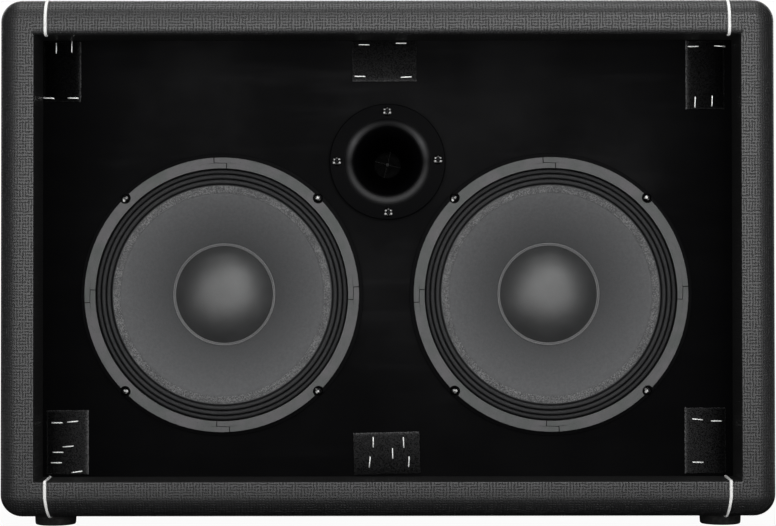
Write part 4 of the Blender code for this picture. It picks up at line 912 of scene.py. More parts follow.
def pan_screw(centre, side, radius, height, shank, length, lean=0.0, marks=()):
    """A pan-head screw: a rounded head with a cross recess, and a plain shank.

    The head's height is 0.999 h (1 - s^4)^(1/2) at a share s of its radius, less the recess where
    the point lies near either arm of the cross. The place on the cloth holds how strongly the head
    is painted near white as painted highlight: a little at the recess's edge, 0.12 c (1 - c) where c
    is the share of its depth, and more at each mark of (across, up, radius, share), which fades out
    over its radius.
    """
    share = [0.0, 0.07, 0.14, 0.2, 0.26, 0.34, 0.42, 0.5, 0.58, 0.64, 0.72, 0.8, 0.88, 0.94, 0.98, 1.0]
    share = np.array(share)
    head = np.column_stack([radius * share, 0.999 * height * np.sqrt(1 - share**4)])
    low = [(radius, 0.0), (shank, 0.0), (shank, -length + shank), (0.0, -length)]
    local = turned(np.vstack([head, low]), 48)
    turn = np.linspace(0, 2 * math.pi, 49) + lean
    across = radius * share[:, None] * np.cos(turn)
    up = radius * share[:, None] * np.sin(turn)
    arm = np.minimum(np.abs(across), np.abs(up)) / (0.13 * radius)
    reach = np.maximum(np.abs(across), np.abs(up)) / (0.56 * radius)
    cut = np.clip(1.6 - arm, 0, 1) * np.clip((1.0 - reach) * 4, 0, 1)
    local[: len(share), :, 2] -= 0.5 * height * cut
    local[:, -1] = local[:, 0]
    painted_glint = np.zeros((*local.shape[:2], 2))
    painted_glint[: len(share), :, 0] = 0.12 * cut * (1 - cut)
    for mark_across, mark_up, mark_radius, strength in marks:
        off = np.hypot(local[: len(share), :, 0] - mark_across, local[: len(share), :, 1] - mark_up)
        spot = strength * np.clip(1.7 - 1.2 * off / mark_radius, 0, 1)
        painted_glint[: len(share), :, 0] = np.maximum(painted_glint[: len(share), :, 0], spot)
    painted_glint[:, -1] = painted_glint[:, 0]
    return grid(facing(local, centre, side), painted_glint)


def black_screw(name, centre, side, size, lean, marks=(), replaced=()):
    """A black pan-head screw in the cabinet, its size as (radius, height, shank, length)."""
    screw = pan_screw(centre, side, *size, lean, marks)
    piece(name, [screw], black_zinc, replaced=replaced)


MOUNTING_SCREW = (0.0040, 0.0026, 0.0022, 0.016)
# spots of painted highlight on each mounting screw's head: (across, up, radius, share)
WOOFER_MARKS = (
    ((-0.0007, 0.0004, 0.0012, 1.0), (-0.0031, -0.0005, 0.0008, 0.15), (0.0008, -0.0014, 0.0008, 0.12)),
    ((-0.0013, -0.0024, 0.0011, 1.0), (0.0011, 0.0002, 0.0010, 0.35), (-0.0016, -0.0002, 0.0008, 0.25)),
    ((-0.0003, 0.0008, 0.0009, 0.6), (0.0018, 0.0004, 0.0010, 0.75), (0.0010, -0.0012, 0.0008, 0.3)),
    ((-0.0006, 0.0001, 0.0009, 0.8), (-0.0024, 0.0022, 0.0010, 0.35), (-0.0018, -0.0008, 0.0010, 0.6)),
)
for side_name, x in WOOFERS.items():
    for number in range(4):
        turn = math.radians(45 + 90 * number)
        across, up = SCREW_CIRCLE * math.cos(turn), SCREW_CIRCLE * math.sin(turn)
        black_screw(
            f"{side_name}_mounting_screw_{number + 1}",
            (x + across, BAFFLE - 0.0021, WOOFER_Z + up),
            "front",
            MOUNTING_SCREW,
            0.4 + 1.3 * number,
            WOOFER_MARKS[number],
            [f"{side_name}_woofer_screw_{number + 1}"],
        )

# Surrounds: each is an accordion of coated black cloth in three rolls, glued to the frame under the
# gasket and lapped onto the cone with a rough flap. The outside is fixed and the inside moves with the
# cone. The ring is made in narrow sectors.

SECTORS = 24
ROLLS_OUTER = 0.1169
ROLL_PITCH = 0.00468
FLAP_INNER = 0.0948
CONE_RIM = 0.1018
CLOTH = 0.0007
# the radii of the surround's free span, from the cone to the frame
SURROUND_SPAN = (0.1026, 0.1162)


def roll_line():
    """(radius, height, how far out of the valleys) of the surround's face, from its flap to its rim.

    Each roll's height is its crest times (1 - |t|^2.6)^0.75 above its trough, where t runs from -1 to
    1 across the roll, so the crests are round and the valleys narrow.
    """
    t = np.linspace(-1, 1, 13)
    roll = (1 - np.abs(t) ** 2.6) ** 0.75
    crests = ROLLS_OUTER - (np.arange(3)[::-1] + 0.45) * ROLL_PITCH
    radii = [crest + t[:-1] * ROLL_PITCH / 2 for crest in crests]
    heights = [0.0004 + 0.0037 * roll[:-1] for _ in crests]
    flap = [
        (FLAP_INNER, 0.0006, 2.0), (0.0953, 0.00095, 2.0), (0.0985, 0.0010, 2.0), (0.1012, 0.0010, 2.0),
        (0.1026, 0.00055, 0.6),
    ]
    rim = [
        (ROLLS_OUTER + 0.0003, 0.0008, 0.0), (ROLLS_OUTER + 0.001, 0.0027, 0.0),
        (ROLLS_OUTER + 0.0038, 0.0028, 0.0),
    ]
    rolls = np.column_stack([np.concatenate(radii), np.concatenate(heights), np.tile(roll[:-1], 3)])
    return np.vstack([flap, rolls, rim])


def sectors(name, line, thickness, count, centre, finish, span, replaced):
    """A ring of sheet in equal sectors, each its own object.

    The line has rows of (radius, height, shade). The place on the cloth is (shade, radius). The span is
    not used: it only gives each sector's two ends, which nothing reads.
    """
    shade = np.stack([line[:, 2, None] + np.zeros(7), line[:, 0, None] + np.zeros(7)], axis=-1)
    for number in range(count):
        start = 2 * math.pi * number / count
        end = start + 2 * math.pi / count
        face = turned(line[:, :2], 6, start, end)
        under = face - np.array([0, 0, thickness])
        sector = piece(
            f"{name}_{number + 1:02d}",
            [sheet(facing(face, centre, "front"), facing(under, centre, "front"), None, shade)],
            finish,
            body=None,
            replaced=replaced,
        )
        middle = (start + end) / 2
        ends = [
            (centre[0] + radius * math.cos(middle), centre[1], centre[2] + radius * math.sin(middle))
            for radius in span
        ]
        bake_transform(sector)


surround = Finish("surround_cloth", (0.04, 0.042, 0.044), 0.6, specular=0.12)
surround_cloth = surround.cloth()
surround_out = surround.along(0, surround_cloth)
# painted shade: the rolls are painted dark in their valleys and darker again next to the gasket
surround_shaded = surround.along(1, surround_cloth).rise(0.1125, 0.1165, 1.0, 0.5)
surround_speck = surround.noise(1500, 2, 0.7).rise(0.42, 0.66)
surround_cloud = surround.noise(70, 3, 0.6).rise(0.3, 0.75)
surround_lit_share = surround_out.rise(0.25, 1.0) * surround_shaded
surround_roll = surround.blend(surround_lit_share, (0.0015, 0.0015, 0.002), (0.046, 0.0465, 0.048))
surround_wear_and_shade = surround.blend(surround_speck * 0.55, surround_roll, (0.012, 0.012, 0.013))
surround_flap = surround.blend(surround_speck, (0.070, 0.070, 0.072), (0.275, 0.276, 0.278))
surround_flap = surround.blend(surround_cloud * 0.4, surround_flap, (0.05, 0.051, 0.053))
surround_share = surround_out.rise(1.05, 1.9)
surround.tint(surround_share, surround_wear_and_shade, surround_flap)
surround.take("Roughness", surround_speck.rise(0.0, 1.0, 0.5, 0.7))
surround.emboss(surround_speck, 0.0002)
for side_name, x in WOOFERS.items():
    sectors(
        f"{side_name}_surround_sector",
        roll_line(),
        CLOTH,
        SECTORS,
        (x, BAFFLE, WOOFER_Z),
        surround,
        SURROUND_SPAN,
        [f"{side_name}_surround"],
    )

# Cones: pressed paper, grey and mottled, a slope that steepens towards the neck. The flap of the
# surround lies on its flat rim, and a double bead of grey glue runs round the dust cap.

CONE_DEPTH = 0.038
CONE_NECK = 0.0334
SLOPE_TOP = 0.0945
BEADS = ((0.0464, 0.0006), (0.0477, 0.0007))
BEAD_LIFT = 0.0009


def cone_height(radius):
    """Depth times (1 - share)^1.2, where the share runs from 0 at the neck to 1 at the rim."""
    share = np.clip((radius - CONE_NECK) / (SLOPE_TOP - CONE_NECK), 0, 1)
    return -CONE_DEPTH * (1 - share) ** 1.2


paper = Finish("cone_paper", (0.085, 0.09, 0.095), 0.85, specular=0.05)
paper_out = paper.along(0, paper.cloth())
paper_blotch = paper.noise(380, 4, 0.7).rise(0.3, 0.7)
paper_fibre = paper.noise(1700, 3, 0.7)
paper_shade = paper.blend(paper_out, (0.077, 0.078, 0.080), (0.118, 0.119, 0.122))
paper_shade = paper.blend(paper_blotch * 0.3, paper_shade, (0.058, 0.059, 0.061))
paper.tint(paper_fibre.rise(0.5, 0.8) * 0.45, paper_shade, (0.040, 0.041, 0.043))
paper.take("Roughness", paper_fibre.rise(0.2, 0.8, 0.75, 0.92))
paper.emboss(paper_fibre * 0.7 + paper_blotch * 0.3, 0.0003)

glue = Finish("cap_glue", (0.11, 0.111, 0.113), 0.35, specular=0.8)
glue_lump = glue.noise(350, 2, 0.5)
glue.take("Roughness", glue_lump.rise(0.3, 0.7, 0.28, 0.45))
glue.emboss(glue_lump, 0.0003)

for side_name, x in WOOFERS.items():
    centre = (x, BAFFLE, WOOFER_Z)
    slope = SLOPE_TOP - (SLOPE_TOP - CONE_NECK) * np.linspace(0, 1, 30)
    cone_line = np.vstack([(CONE_RIM, 0.0), np.column_stack([slope, cone_height(slope)])])
    cone_face = facing(turned(cone_line, RING_STEPS), centre, "front")
    cone_out = np.clip((cone_line[:, 0, None] - 0.050) / 0.040, 0, 1) + np.zeros(RING_STEPS + 1)
    cone_under = facing(turned(cone_line, RING_STEPS) - np.array([0, 0, 0.001]), centre, "front")
    cone_body = f"{side_name}_cone_assembly"
    piece(
        f"{side_name}_paper_cone",
        [sheet(cone_face, cone_under, None, np.stack([cone_out, 0 * cone_out], axis=-1))],
        paper,
        body=cone_body,
        replaced=[f"{side_name}_cone"],
    )
    turn = np.linspace(0, 2 * math.pi, 13)[:-1]
    bead = []
    for bead_radius, thick in BEADS:
        base = cone_height(bead_radius) + BEAD_LIFT
        section = np.column_stack([bead_radius + thick * np.cos(turn), base + thick * np.sin(turn)])
        bead.append(ring(section, RING_STEPS, centre, "front"))
    piece(f"{side_name}_glue_bead", bead, glue, body=cone_body)

# Dust caps: one smooth dome of pressed and lacquered paper on each cone, over the voice coil, with a
# narrow flange glued to the cone.

CAP_RADIUS = 0.0455
CAP_RISE = 0.0160
CAP_SHEET = 0.0008
CAP_FLANGE = 0.048
CAP_POWER = 2.8

cap = Finish("dust_cap", (0.03, 0.03, 0.031), 0.44, specular=1.0)
cap.take("Coat Weight", 0.3)
cap.take("Coat Roughness", 0.45)
cap_grain = cap.noise(1300, 2, 0.6)
cap_cloud = cap.noise(60, 3, 0.5)
cap.tint(cap_cloud.rise(0.3, 0.7), (0.022, 0.0225, 0.023), (0.029, 0.0295, 0.0305))
cap.take("Roughness", cap_grain.rise(0.3, 0.7, 0.46, 0.54))
cap.emboss(cap_grain, 0.0001)
for side_name, x in WOOFERS.items():
    rim = cone_height(CAP_RADIUS) + FIT + CAP_SHEET
    share = np.linspace(0, 1, 30)
    dome = np.column_stack([CAP_RADIUS * share, rim + CAP_RISE * (1 - share**CAP_POWER)])
    flange = (CAP_FLANGE, cone_height(CAP_FLANGE) + FIT + CAP_SHEET)
    dome = np.vstack([dome, flange])
    profile = np.vstack([dome, dome[::-1] - (0, CAP_SHEET)])
    piece(
        f"{side_name}_cap_dome",
        [disc(profile, 96, (x, BAFFLE, WOOFER_Z), "front")],
        cap,
        body=f"{side_name}_cone_assembly",
        replaced=[f"{side_name}_dust_cap"],
    )

# Behind the cones: the spider, a corrugated disc of varnished cloth that centres the voice coil, the
# copper coil itself, the ferrite ring magnet and the plated back plate with its pole.

spider = Finish("spider_cloth", (0.55, 0.42, 0.2), 0.85, specular=0.2)
spider_weave = (spider.along(0) * 7000).cosine() * (spider.along(2) * 7000).cosine()
spider.tint(spider_weave * 0.5 + 0.5, (0.62, 0.48, 0.25), (0.42, 0.30, 0.13))
spider.emboss(spider_weave, 0.0002)
SPIDER_OUTER = 0.0782
WAVES_OUTER = 0.0697
WAVES_INNER = 0.0384
WAVE_HALF = 0.0015
SPIDER_DEPTH = 0.0615
SPIDER_SPAN = (WAVES_INNER, 0.0665)
wave = np.linspace(0, 1, 25)
wave_radius = WAVES_OUTER + (WAVES_INNER - WAVES_OUTER) * wave
wave_height = WAVE_HALF - WAVE_HALF * np.cos(wave * 4.5 * math.pi)
spider_radius = np.concatenate([[SPIDER_OUTER, 0.074], wave_radius, [CONE_NECK]])
spider_height = np.concatenate([[0, 0], wave_height, [WAVE_HALF]]) - SPIDER_DEPTH
for side_name, x in WOOFERS.items():
    sectors(
        f"{side_name}_spider_sector",
        np.column_stack([spider_radius, spider_height, 0 * spider_radius])[::-1],
        0.0006,
        12,
        (x, BAFFLE, WOOFER_Z),
        spider,
        SPIDER_SPAN,
        [f"{side_name}_spider"],
    )

copper = Finish("coil_copper", (0.72, 0.33, 0.16), 0.3, metallic=1.0)
copper_turns = (copper.along(1) * 12000).cosine()
copper.tint(copper_turns * 0.5 + 0.5, (0.50, 0.20, 0.09), (0.78, 0.38, 0.20))
copper.emboss(copper_turns, 0.0001)
dress(copper, "left_voice_coil", "right_voice_coil")

ferrite = Finish("ferrite", (0.05, 0.05, 0.052), 0.55, specular=0.4)
ferrite_grain = ferrite.noise(900, 4, 0.7)
ferrite.tint(ferrite_grain.rise(0.3, 0.75), (0.035, 0.035, 0.037), (0.085, 0.085, 0.088))
ferrite.emboss(ferrite_grain, 0.0002)
dress(ferrite, "left_magnet", "right_magnet")

plated = Finish("plated_steel", (0.55, 0.55, 0.52), 0.32, metallic=1.0)
plated_haze = plated.noise(120, 4, 0.6)
plated.tint(plated_haze.rise(0.3, 0.7), (0.60, 0.60, 0.57), (0.46, 0.46, 0.42))
plated.take("Roughness", plated_haze.rise(0.3, 0.7, 0.26, 0.42))
plated.emboss(plated_haze, 0.0001)
dress(plated, "left_yoke", "right_yoke", "attenuator")

# Horn: one moulding of satin black plastic, a flat round flange with a rolled lip round the mouth
# and a flare down to the throat, where a thin cross guards the driver. Four screws hold it.

HORN_Z = 0.3358
HORN_TOP = 0.0043
HORN_DEPTH = 0.058
MOUTH = 0.0325
THROAT = 0.0127
FLARE_POWER = 1.7
HORN_WALL = 0.003
HORN_LIP = 0.036
HORN_LIP_HALF = 0.0035
HORN_LIP_RISE = 0.0028
HORN_EDGE = 0.054
HORN_SCREW_CIRCLE = 0.0471
# the lip's painted highlight, from the bottom of its ring to the top
HORN_SHEEN = (
    (0.0, (0.048, 0.048, 0.049)), (0.25, (0.042, 0.042, 0.043)), (0.5, (0.017, 0.017, 0.0175)),
    (0.75, (0.064, 0.064, 0.066)), (0.935, (0.024, 0.024, 0.0245)), (1.0, (0.010, 0.010, 0.0105)),
)
# the row of the horn's middle in the frame, and the column and row of each screw, for its angle
HORN_ROW = 162.0
HORN_SCREWS = ((387.4, 111.3), (336.6, 161.4), (437.6, 160.0), (388.4, 211.4))

horn_plastic = Finish("horn_plastic", (0.002, 0.002, 0.0025), 0.34, specular=0.02)
horn_grain = horn_plastic.noise(1100, 3, 0.6)
# painted shade: deep in the throat the plastic is painted near black
horn_throat_shade = horn_plastic.along(1).rise(BAFFLE - 0.002, BAFFLE + 0.02)
horn_face = horn_plastic.blend(horn_grain, (0.0006, 0.0006, 0.0008), (0.0028, 0.0028, 0.0032))
horn_x = horn_plastic.along(0)
horn_up = horn_plastic.along(2) - HORN_Z
horn_reach = (horn_x * horn_x + horn_up * horn_up) ** 0.5
# painted highlight: the lip's ring is painted lighter, by the stops round it
horn_lip_highlight = (horn_reach - HORN_LIP).size().rise(0.0, 0.0056, 1.0, 0.0) * (1 - horn_throat_shade)
horn_height = (horn_up / horn_reach + 1) * 0.5
horn_sheen = horn_plastic.add("ValToRGB", {"stops": HORN_SHEEN}, {"Fac": horn_height})
horn_face = horn_plastic.blend(horn_lip_highlight, horn_face, horn_sheen)
horn_plastic.tint(horn_throat_shade, horn_face, (0.0006, 0.0006, 0.0007))
horn_plastic.take("Roughness", horn_grain.rise(0.3, 0.7, 0.3, 0.42))
horn_plastic.emboss(horn_grain, 0.0001)

horn_centre = (0.0, BAFFLE, HORN_Z)
share = np.linspace(1, 0, 24)
flare = MOUTH - (MOUTH - THROAT) * (1 - (1 - share) ** FLARE_POWER)
inside = np.column_stack([flare, HORN_TOP - (HORN_DEPTH + HORN_TOP) * share])
turn = np.linspace(math.pi, 0, 25)
lip_height = HORN_TOP + HORN_LIP_RISE * np.sin(turn)
lip = np.column_stack([HORN_LIP + HORN_LIP_HALF * np.cos(turn), lip_height])
turn = arc(5)
foot_height = HORN_TOP + 0.0012 - 0.0012 * np.sin(turn)
lip_foot = np.column_stack([0.0407 - 0.0012 * np.cos(turn), foot_height])
turn = arc(4)
edge_height = HORN_TOP - 0.001 + 0.001 * np.cos(turn)
edge = np.column_stack([HORN_EDGE - 0.001 + 0.001 * np.sin(turn), edge_height])
outside = np.column_stack([flare[::-1] + HORN_WALL, -0.0002 - 0.0578 * share[::-1]])
bolt_flange = [(0.030, -0.058), (0.030, -0.063), (THROAT, -0.063)]
lip = np.vstack([inside, lip[1:-4], lip_foot])
horn_profile = np.vstack([lip, edge, [(HORN_EDGE, FIT), (0.0395, FIT)], outside[1:], bolt_flange])
piece(
    "horn_flare",
    [ring(horn_profile, 120, horn_centre, "front")],
    horn_plastic,
    replaced=["horn"],
)

GUARD_DEPTH = 0.054
GUARD_HALF = 0.0130
GUARD_WIRE = 0.0006
GUARD_LEANS = (math.radians(76), math.radians(-15))

guard_steel = Finish("guard_steel", (0.006, 0.006, 0.006), 0.35, metallic=0.5, specular=0.1)
guard_wear = guard_steel.noise(900)
guard_steel.tint(guard_wear, (0.003, 0.003, 0.003), (0.012, 0.012, 0.012))
guard_steel.emboss(guard_wear, 0.00005)
guard = []
for lean in GUARD_LEANS:
    reach = np.linspace(-GUARD_HALF, GUARD_HALF, 9)
    across, up = reach * math.cos(lean), HORN_Z + reach * math.sin(lean)
    guard.append(tube(np.column_stack([across, np.full(9, BAFFLE + GUARD_DEPTH), up]), GUARD_WIRE, 10))
boss = [
    (0.0, -0.0552), (0.0018, -0.0552), (0.0021, -0.0546), (0.0021, -0.0532), (0.0016, -0.0524),
    (0.0, -0.0522),
]
guard.append(disc(boss, 24, horn_centre, "front"))
piece("throat_guard", guard, guard_steel)

HORN_SCREW = (0.0044, 0.0024, 0.0020, 0.014)
# spots of painted highlight on each horn screw's head: (across, up, radius, share)
HORN_MARKS = (
    (-0.0026, 0.0016, 0.0008, 0.5), (0.0026, 0.0016, 0.0008, 0.4),
    (-0.0029, -0.0016, 0.0009, 0.75), (0.0029, -0.0016, 0.0009, 0.7),
    (0.0, 0.0028, 0.0008, 0.12), (-0.0012, -0.0024, 0.0007, 0.1), (0.0012, -0.0024, 0.0007, 0.1),
)
for number, (column, row) in enumerate(HORN_SCREWS, 1):
    angle = math.atan2(HORN_ROW - row, column - MIDDLE_COLUMN)
    across, up = HORN_SCREW_CIRCLE * math.cos(angle), HORN_SCREW_CIRCLE * math.sin(angle)
    place = (across, BAFFLE - HORN_TOP, HORN_Z + up)
    black_screw(f"horn_screw_{number}", place, "front", HORN_SCREW, 0.0, HORN_MARKS)

driver_metal = Finish("driver_metal", (0.06, 0.06, 0.065), 0.45, metallic=0.7, specular=0.02)
driver_grain = driver_metal.noise(300, 4, 0.6)
# painted shade: the bore in front is painted near black and not metallic, with the metal behind it
driver_bore = driver_metal.along(1).rise(BAFFLE + 0.0718, BAFFLE + 0.0728)
driver_metal.tint(driver_bore, (0.0006, 0.0006, 0.0006), (0.06, 0.06, 0.065))
driver_metal.take("Metallic", driver_bore * 0.7)
driver_metal.take("Roughness", driver_grain.rise(0.3, 0.7, 0.38, 0.52))
driver_metal.emboss(driver_grain, 0.0001)
dress(driver_metal, "horn_driver")

# Rubber feet: four moulded black rubber discs with round edges, which stand in a little from the
# corners. Each is held by a plated screw in its sunk middle.

FOOT_X = 0.308
FOOT_Y = 0.152
FOOT_SEAT = 0.0053
FOOT_SCREW = (0.0045, 0.0024, 0.0018, 0.014)

rubber = Finish("foot_rubber", (0.015, 0.015, 0.015), 0.8, specular=0.2)
rubber_bloom = rubber.noise(300, 4, 0.65)
rubber.tint(rubber_bloom.rise(0.4, 0.8), (0.010, 0.010, 0.010), (0.032, 0.032, 0.031))
rubber.emboss(rubber_bloom, 0.0002)
foot_profile = [
    (0.0022, -0.0097), (0.0188, -0.0097), (0.0190, -0.0095), (0.0189, -0.0045), (0.0187, -0.0016),
    (0.0183, -0.0005), (0.0175, 0.0), (0.0066, 0.0), (0.0058, -0.0003), (0.0055, -0.0010), (0.0055, -0.0055),
    (0.0022, -0.0055),
]
for depth_name, end in (("front", -1), ("rear", 1)):
    for side_name, side in (("left", -1), ("right", 1)):
        x, y = side * FOOT_X, end * FOOT_Y
        name = f"{depth_name}_{side_name}"
        piece(
            f"{name}_rubber_foot",
            [ring(foot_profile, 72, (x, y, 0.0), "down")],
            rubber,
            replaced=[f"{name}_foot"],
        )
        screw = pan_screw((x, y, FOOT_SEAT), "down", *FOOT_SCREW)
        piece(f"{name}_foot_screw", [screw], plated)

# Handles: each side has a recessed bar handle, moulded in one piece from black plastic: a flange over
# the covering with a raised rim round the mouth, a cup let into the side panel and a rounded bar that
# widens where it meets the cup. Four screws in the flange hold it, below the rim.

HANDLE_Z = 0.276
FLANGE_FACE = 0.3555
BAR_MIDDLE = 0.344
BAR_HALF = 0.0783
HANDLE_SCREW = (0.0037, 0.0012, 0.0018, 0.016)
HANDLE_SCREW_Y = 0.0865
HANDLE_SCREW_Z = 0.0485
CORNERS = ((-1, -1), (-1, 1), (1, -1), (1, 1))

handle_plastic = Finish("handle_plastic", (0.02, 0.02, 0.021), 0.55, specular=0.3)
handle_grain = handle_plastic.noise(900, 3, 0.6)
handle_plastic.tint(handle_grain, (0.013, 0.013, 0.014), (0.028, 0.028, 0.029))
handle_plastic.take("Roughness", handle_grain.rise(0.3, 0.7, 0.46, 0.62))
handle_plastic.emboss(handle_grain, 0.00015)


def rounded_loops(rows, steps=8):
    """Rectangles with round corners, from rows of (half across, half up, corner radius, out).

    A corner's centre lies the radius inside both half sizes. A point is that centre plus the radius
    times the cosine and sine of the turn, which goes once round in four quarters.
    """
    half_across, half_up, radius, out = np.asarray(rows, float).T[:, :, None]
    quarters = np.arange(4)[:, None] * math.pi / 2 + np.linspace(0, math.pi / 2, steps + 1)
    turn = np.append(quarters.ravel(), 0.0)
    side_across = np.append(np.repeat([1, -1, -1, 1], steps + 1), 1)
    side_up = np.append(np.repeat([1, 1, -1, -1], steps + 1), 1)
    across = side_across * (half_across - radius) + radius * np.cos(turn)
    up = side_up * (half_up - radius) + radius * np.sin(turn)
    return np.stack([across, up, out + 0 * turn], axis=-1)


cup_rows = [
    (0, 0, 0, 0.2990), (0.0700, 0.0320, 0.0045, 0.2990), (0.0732, 0.0352, 0.0070, 0.2998),
    (0.0748, 0.0368, 0.0082, 0.3018), (0.0754, 0.0374, 0.0088, 0.3045), (0.0770, 0.0390, 0.0096, 0.3530),
    (0.0773, 0.0393, 0.0099, 0.3549), (0.0781, 0.0401, 0.0107, 0.3562), (0.0793, 0.0413, 0.0119, 0.3568),
    (0.0812, 0.0432, 0.0138, 0.3568), (0.0824, 0.0444, 0.0150, 0.3565), (0.0832, 0.0452, 0.0158, 0.3559),
    (0.0838, 0.0458, 0.0164, 0.3555), (0.0932, 0.0542, 0.0104, 0.3555), (0.0942, 0.0552, 0.0114, 0.3553),
    (0.0948, 0.0558, 0.0119, 0.3549), (0.0950, 0.0560, 0.0120, 0.3543), (0.0800, 0.0420, 0.0112, 0.3543),
    (0.0800, 0.0420, 0.0112, 0.2980), (0.0794, 0.0414, 0.0106, 0.2965), (0.0780, 0.0400, 0.0092, 0.2960),
    (0, 0, 0, 0.2960),
]
cup = rounded_loops(cup_rows)
# The bar's section is a rounded loop, which swells by up to 0.3 of its thickness at both ends.
bar_share = np.linspace(-1, 1, 29)[:, None]
bar_swell = np.clip((np.abs(bar_share) - 0.86) / 0.14, 0, 1) ** 2
bar_out, bar_up, _ = rounded_loops([(0.008, 0.013, 0.006, 0)])[0].T
bar = [
    BAR_HALF * bar_share + 0 * bar_up,
    (1 + 0.28 * bar_swell) * bar_up,
    BAR_MIDDLE + (1 + 0.3 * bar_swell) * bar_out,
]
bar = np.stack(bar, axis=-1)
bar_ends = np.array([[[-BAR_HALF, 0, BAR_MIDDLE]], [[BAR_HALF, 0, BAR_MIDDLE]]]) + 0 * bar[:1]
bar = np.concatenate([bar_ends[:1], bar, bar_ends[1:]])
for side_name, side in (("left", -1), ("right", 1)):
    centre = (0, 0, HANDLE_Z)
    piece(
        f"{side_name}_bar_handle",
        [grid(facing(cup, centre, side_name)), grid(facing(bar, centre, side_name))],
        handle_plastic,
        replaced=[f"{side_name}_handle"],
        sharp=50,
    )
    for number, (y_side, z_side) in enumerate(CORNERS, 1):
        place = (side * FLANGE_FACE, y_side * HANDLE_SCREW_Y, HANDLE_Z + z_side * HANDLE_SCREW_Z)
        black_screw(f"{side_name}_handle_screw_{number}", place, side_name, HANDLE_SCREW, 0.5 * number)

# Jack plate: powder-coated steel, screwed over the back panel's window, with two nickel jacks under
# six-sided nuts and the horn's level: a fluted plastic knob with a white line in a ring of printed
# ticks. The screws of the plate and of the back panel are black.

PLATE_FACE = 0.1863
PLATE_Z = 0.266
JACKS = {"input": -0.042, "link": -0.008}
NUT_HALF = 0.0067
NUT_CHAMFER = 0.0068
NUT_TOP = 0.0046
WASHER_TOP = 0.0031
KNOB_X = 0.034
KNOB_BASE = 0.1895
FLUTES = 18
TICK_REACH = 0.0136
PLATE_SCREW = (0.0034, 0.0020, 0.0016, 0.012)
PLATE_SCREW_X = 0.063
PLATE_SCREW_Z = 0.038
PANEL_SCREW = (0.0045, 0.0026, 0.0022, 0.030)
PANEL_SCREW_X = (-0.325, -0.11, 0.11, 0.325)
PANEL_SCREW_Z = (0.040, 0.177, 0.315, 0.452)

powder = Finish("powder_coat", (0.02, 0.02, 0.021), 0.45, specular=0.4)
powder_grain = powder.noise(1500, 2, 0.5)
knob_across = powder.along(0) - KNOB_X
knob_up = powder.along(2) - PLATE_Z
knob_out = (knob_across * knob_across + knob_up * knob_up) ** 0.5
knob_turn = powder.add("Math", {"operation": "ARCTAN2"}, {0: knob_across, 1: knob_up})
ticks = (knob_turn * 12).cosine().rise(0.90, 0.95)
ticks = ticks * (knob_out - TICK_REACH).size().rise(0.0009, 0.0011, 1.0, 0.0)
ticks = ticks * knob_turn.size().rise(2.70, 2.75, 1.0, 0.0)
ticks = ticks * powder.along(1).rise(PLATE_FACE - 0.0008, PLATE_FACE - 0.0003)
powder.tint(ticks, (0.02, 0.02, 0.021), (0.55, 0.55, 0.53))
powder.take("Roughness", powder_grain.rise(0.3, 0.7, 0.4, 0.55))
powder.emboss(powder_grain, 0.0001)
dress(powder, "jack_plate")

nickel = Finish("nickel", (0.62, 0.60, 0.56), 0.22, metallic=1.0)
nickel_wear = nickel.noise(500, 3, 0.6)
nickel.take("Roughness", nickel_wear.rise(0.3, 0.7, 0.16, 0.3))
nickel.emboss(nickel_wear, 0.00004)
dress(nickel, "attenuator_shaft")

jack_line = [
    (0, -0.0236), (0.0033, -0.0236), (0.0033, 0.0044), (0.0036, 0.0050), (0.0041, 0.0054),
    (0.0052, 0.0054), (0.0057, 0.0050), (0.0057, 0.0046), (0.0058, 0.0046), (0.0068, 0.0046),
    (0.0068, 0.0046), (0.0068, 0.0031), (0.0074, 0.0031), (0.0078, 0.0031), (0.0080, 0.0029),
    (0.0080, 0.0026), (0.0057, 0.0026), (0.0057, 0), (0.0115, 0), (0.0115, -0.0251), (0, -0.0251),
]
# Rows 10 to 12 are the nut, whose reach is its half width over the cosine of the angle from the middle
# of each side. Its top falls by 0.577 of the reach past the chamfer.
jack = turned(jack_line, 48)
nut_turn = np.linspace(0, 2 * math.pi, 49)
nut_out = NUT_HALF / np.cos((nut_turn + math.pi / 6) % (math.pi / 3) - math.pi / 6)
nut_fall = 0.577 * np.clip(nut_out - NUT_CHAMFER, 0, 1)
nut_across, nut_up = nut_out * np.cos(nut_turn), nut_out * np.sin(nut_turn)
for row, height in ((10, NUT_TOP - nut_fall), (11, WASHER_TOP), (12, WASHER_TOP)):
    jack[row] = np.column_stack([nut_across, nut_up, height + 0 * nut_out])
jack[:, -1] = jack[:, 0]
for name, x in JACKS.items():
    shapes = [grid(facing(jack, (x, PANEL_FACE, PLATE_Z), "back"))]
    piece(f"{name}_jack_socket", shapes, nickel, replaced=[f"{name}_jack"], sharp=25)

knob_plastic = Finish("knob_plastic", (0.015, 0.015, 0.015), 0.35, specular=0.45)
knob_grain = knob_plastic.noise(900, 2, 0.5)
knob_face = knob_plastic.cloth()
knob_mark = knob_plastic.along(0, knob_face).size().rise(0.00045, 0.00055, 1.0, 0.0)
knob_mark = knob_mark * knob_plastic.along(1, knob_face).rise(0.0024, 0.0026)
knob_plastic.tint(knob_mark, (0.015, 0.015, 0.015), (0.6, 0.6, 0.58))
knob_plastic.take("Roughness", knob_grain.rise(0.3, 0.7, 0.3, 0.42))
knob_plastic.emboss(knob_grain, 0.00006)

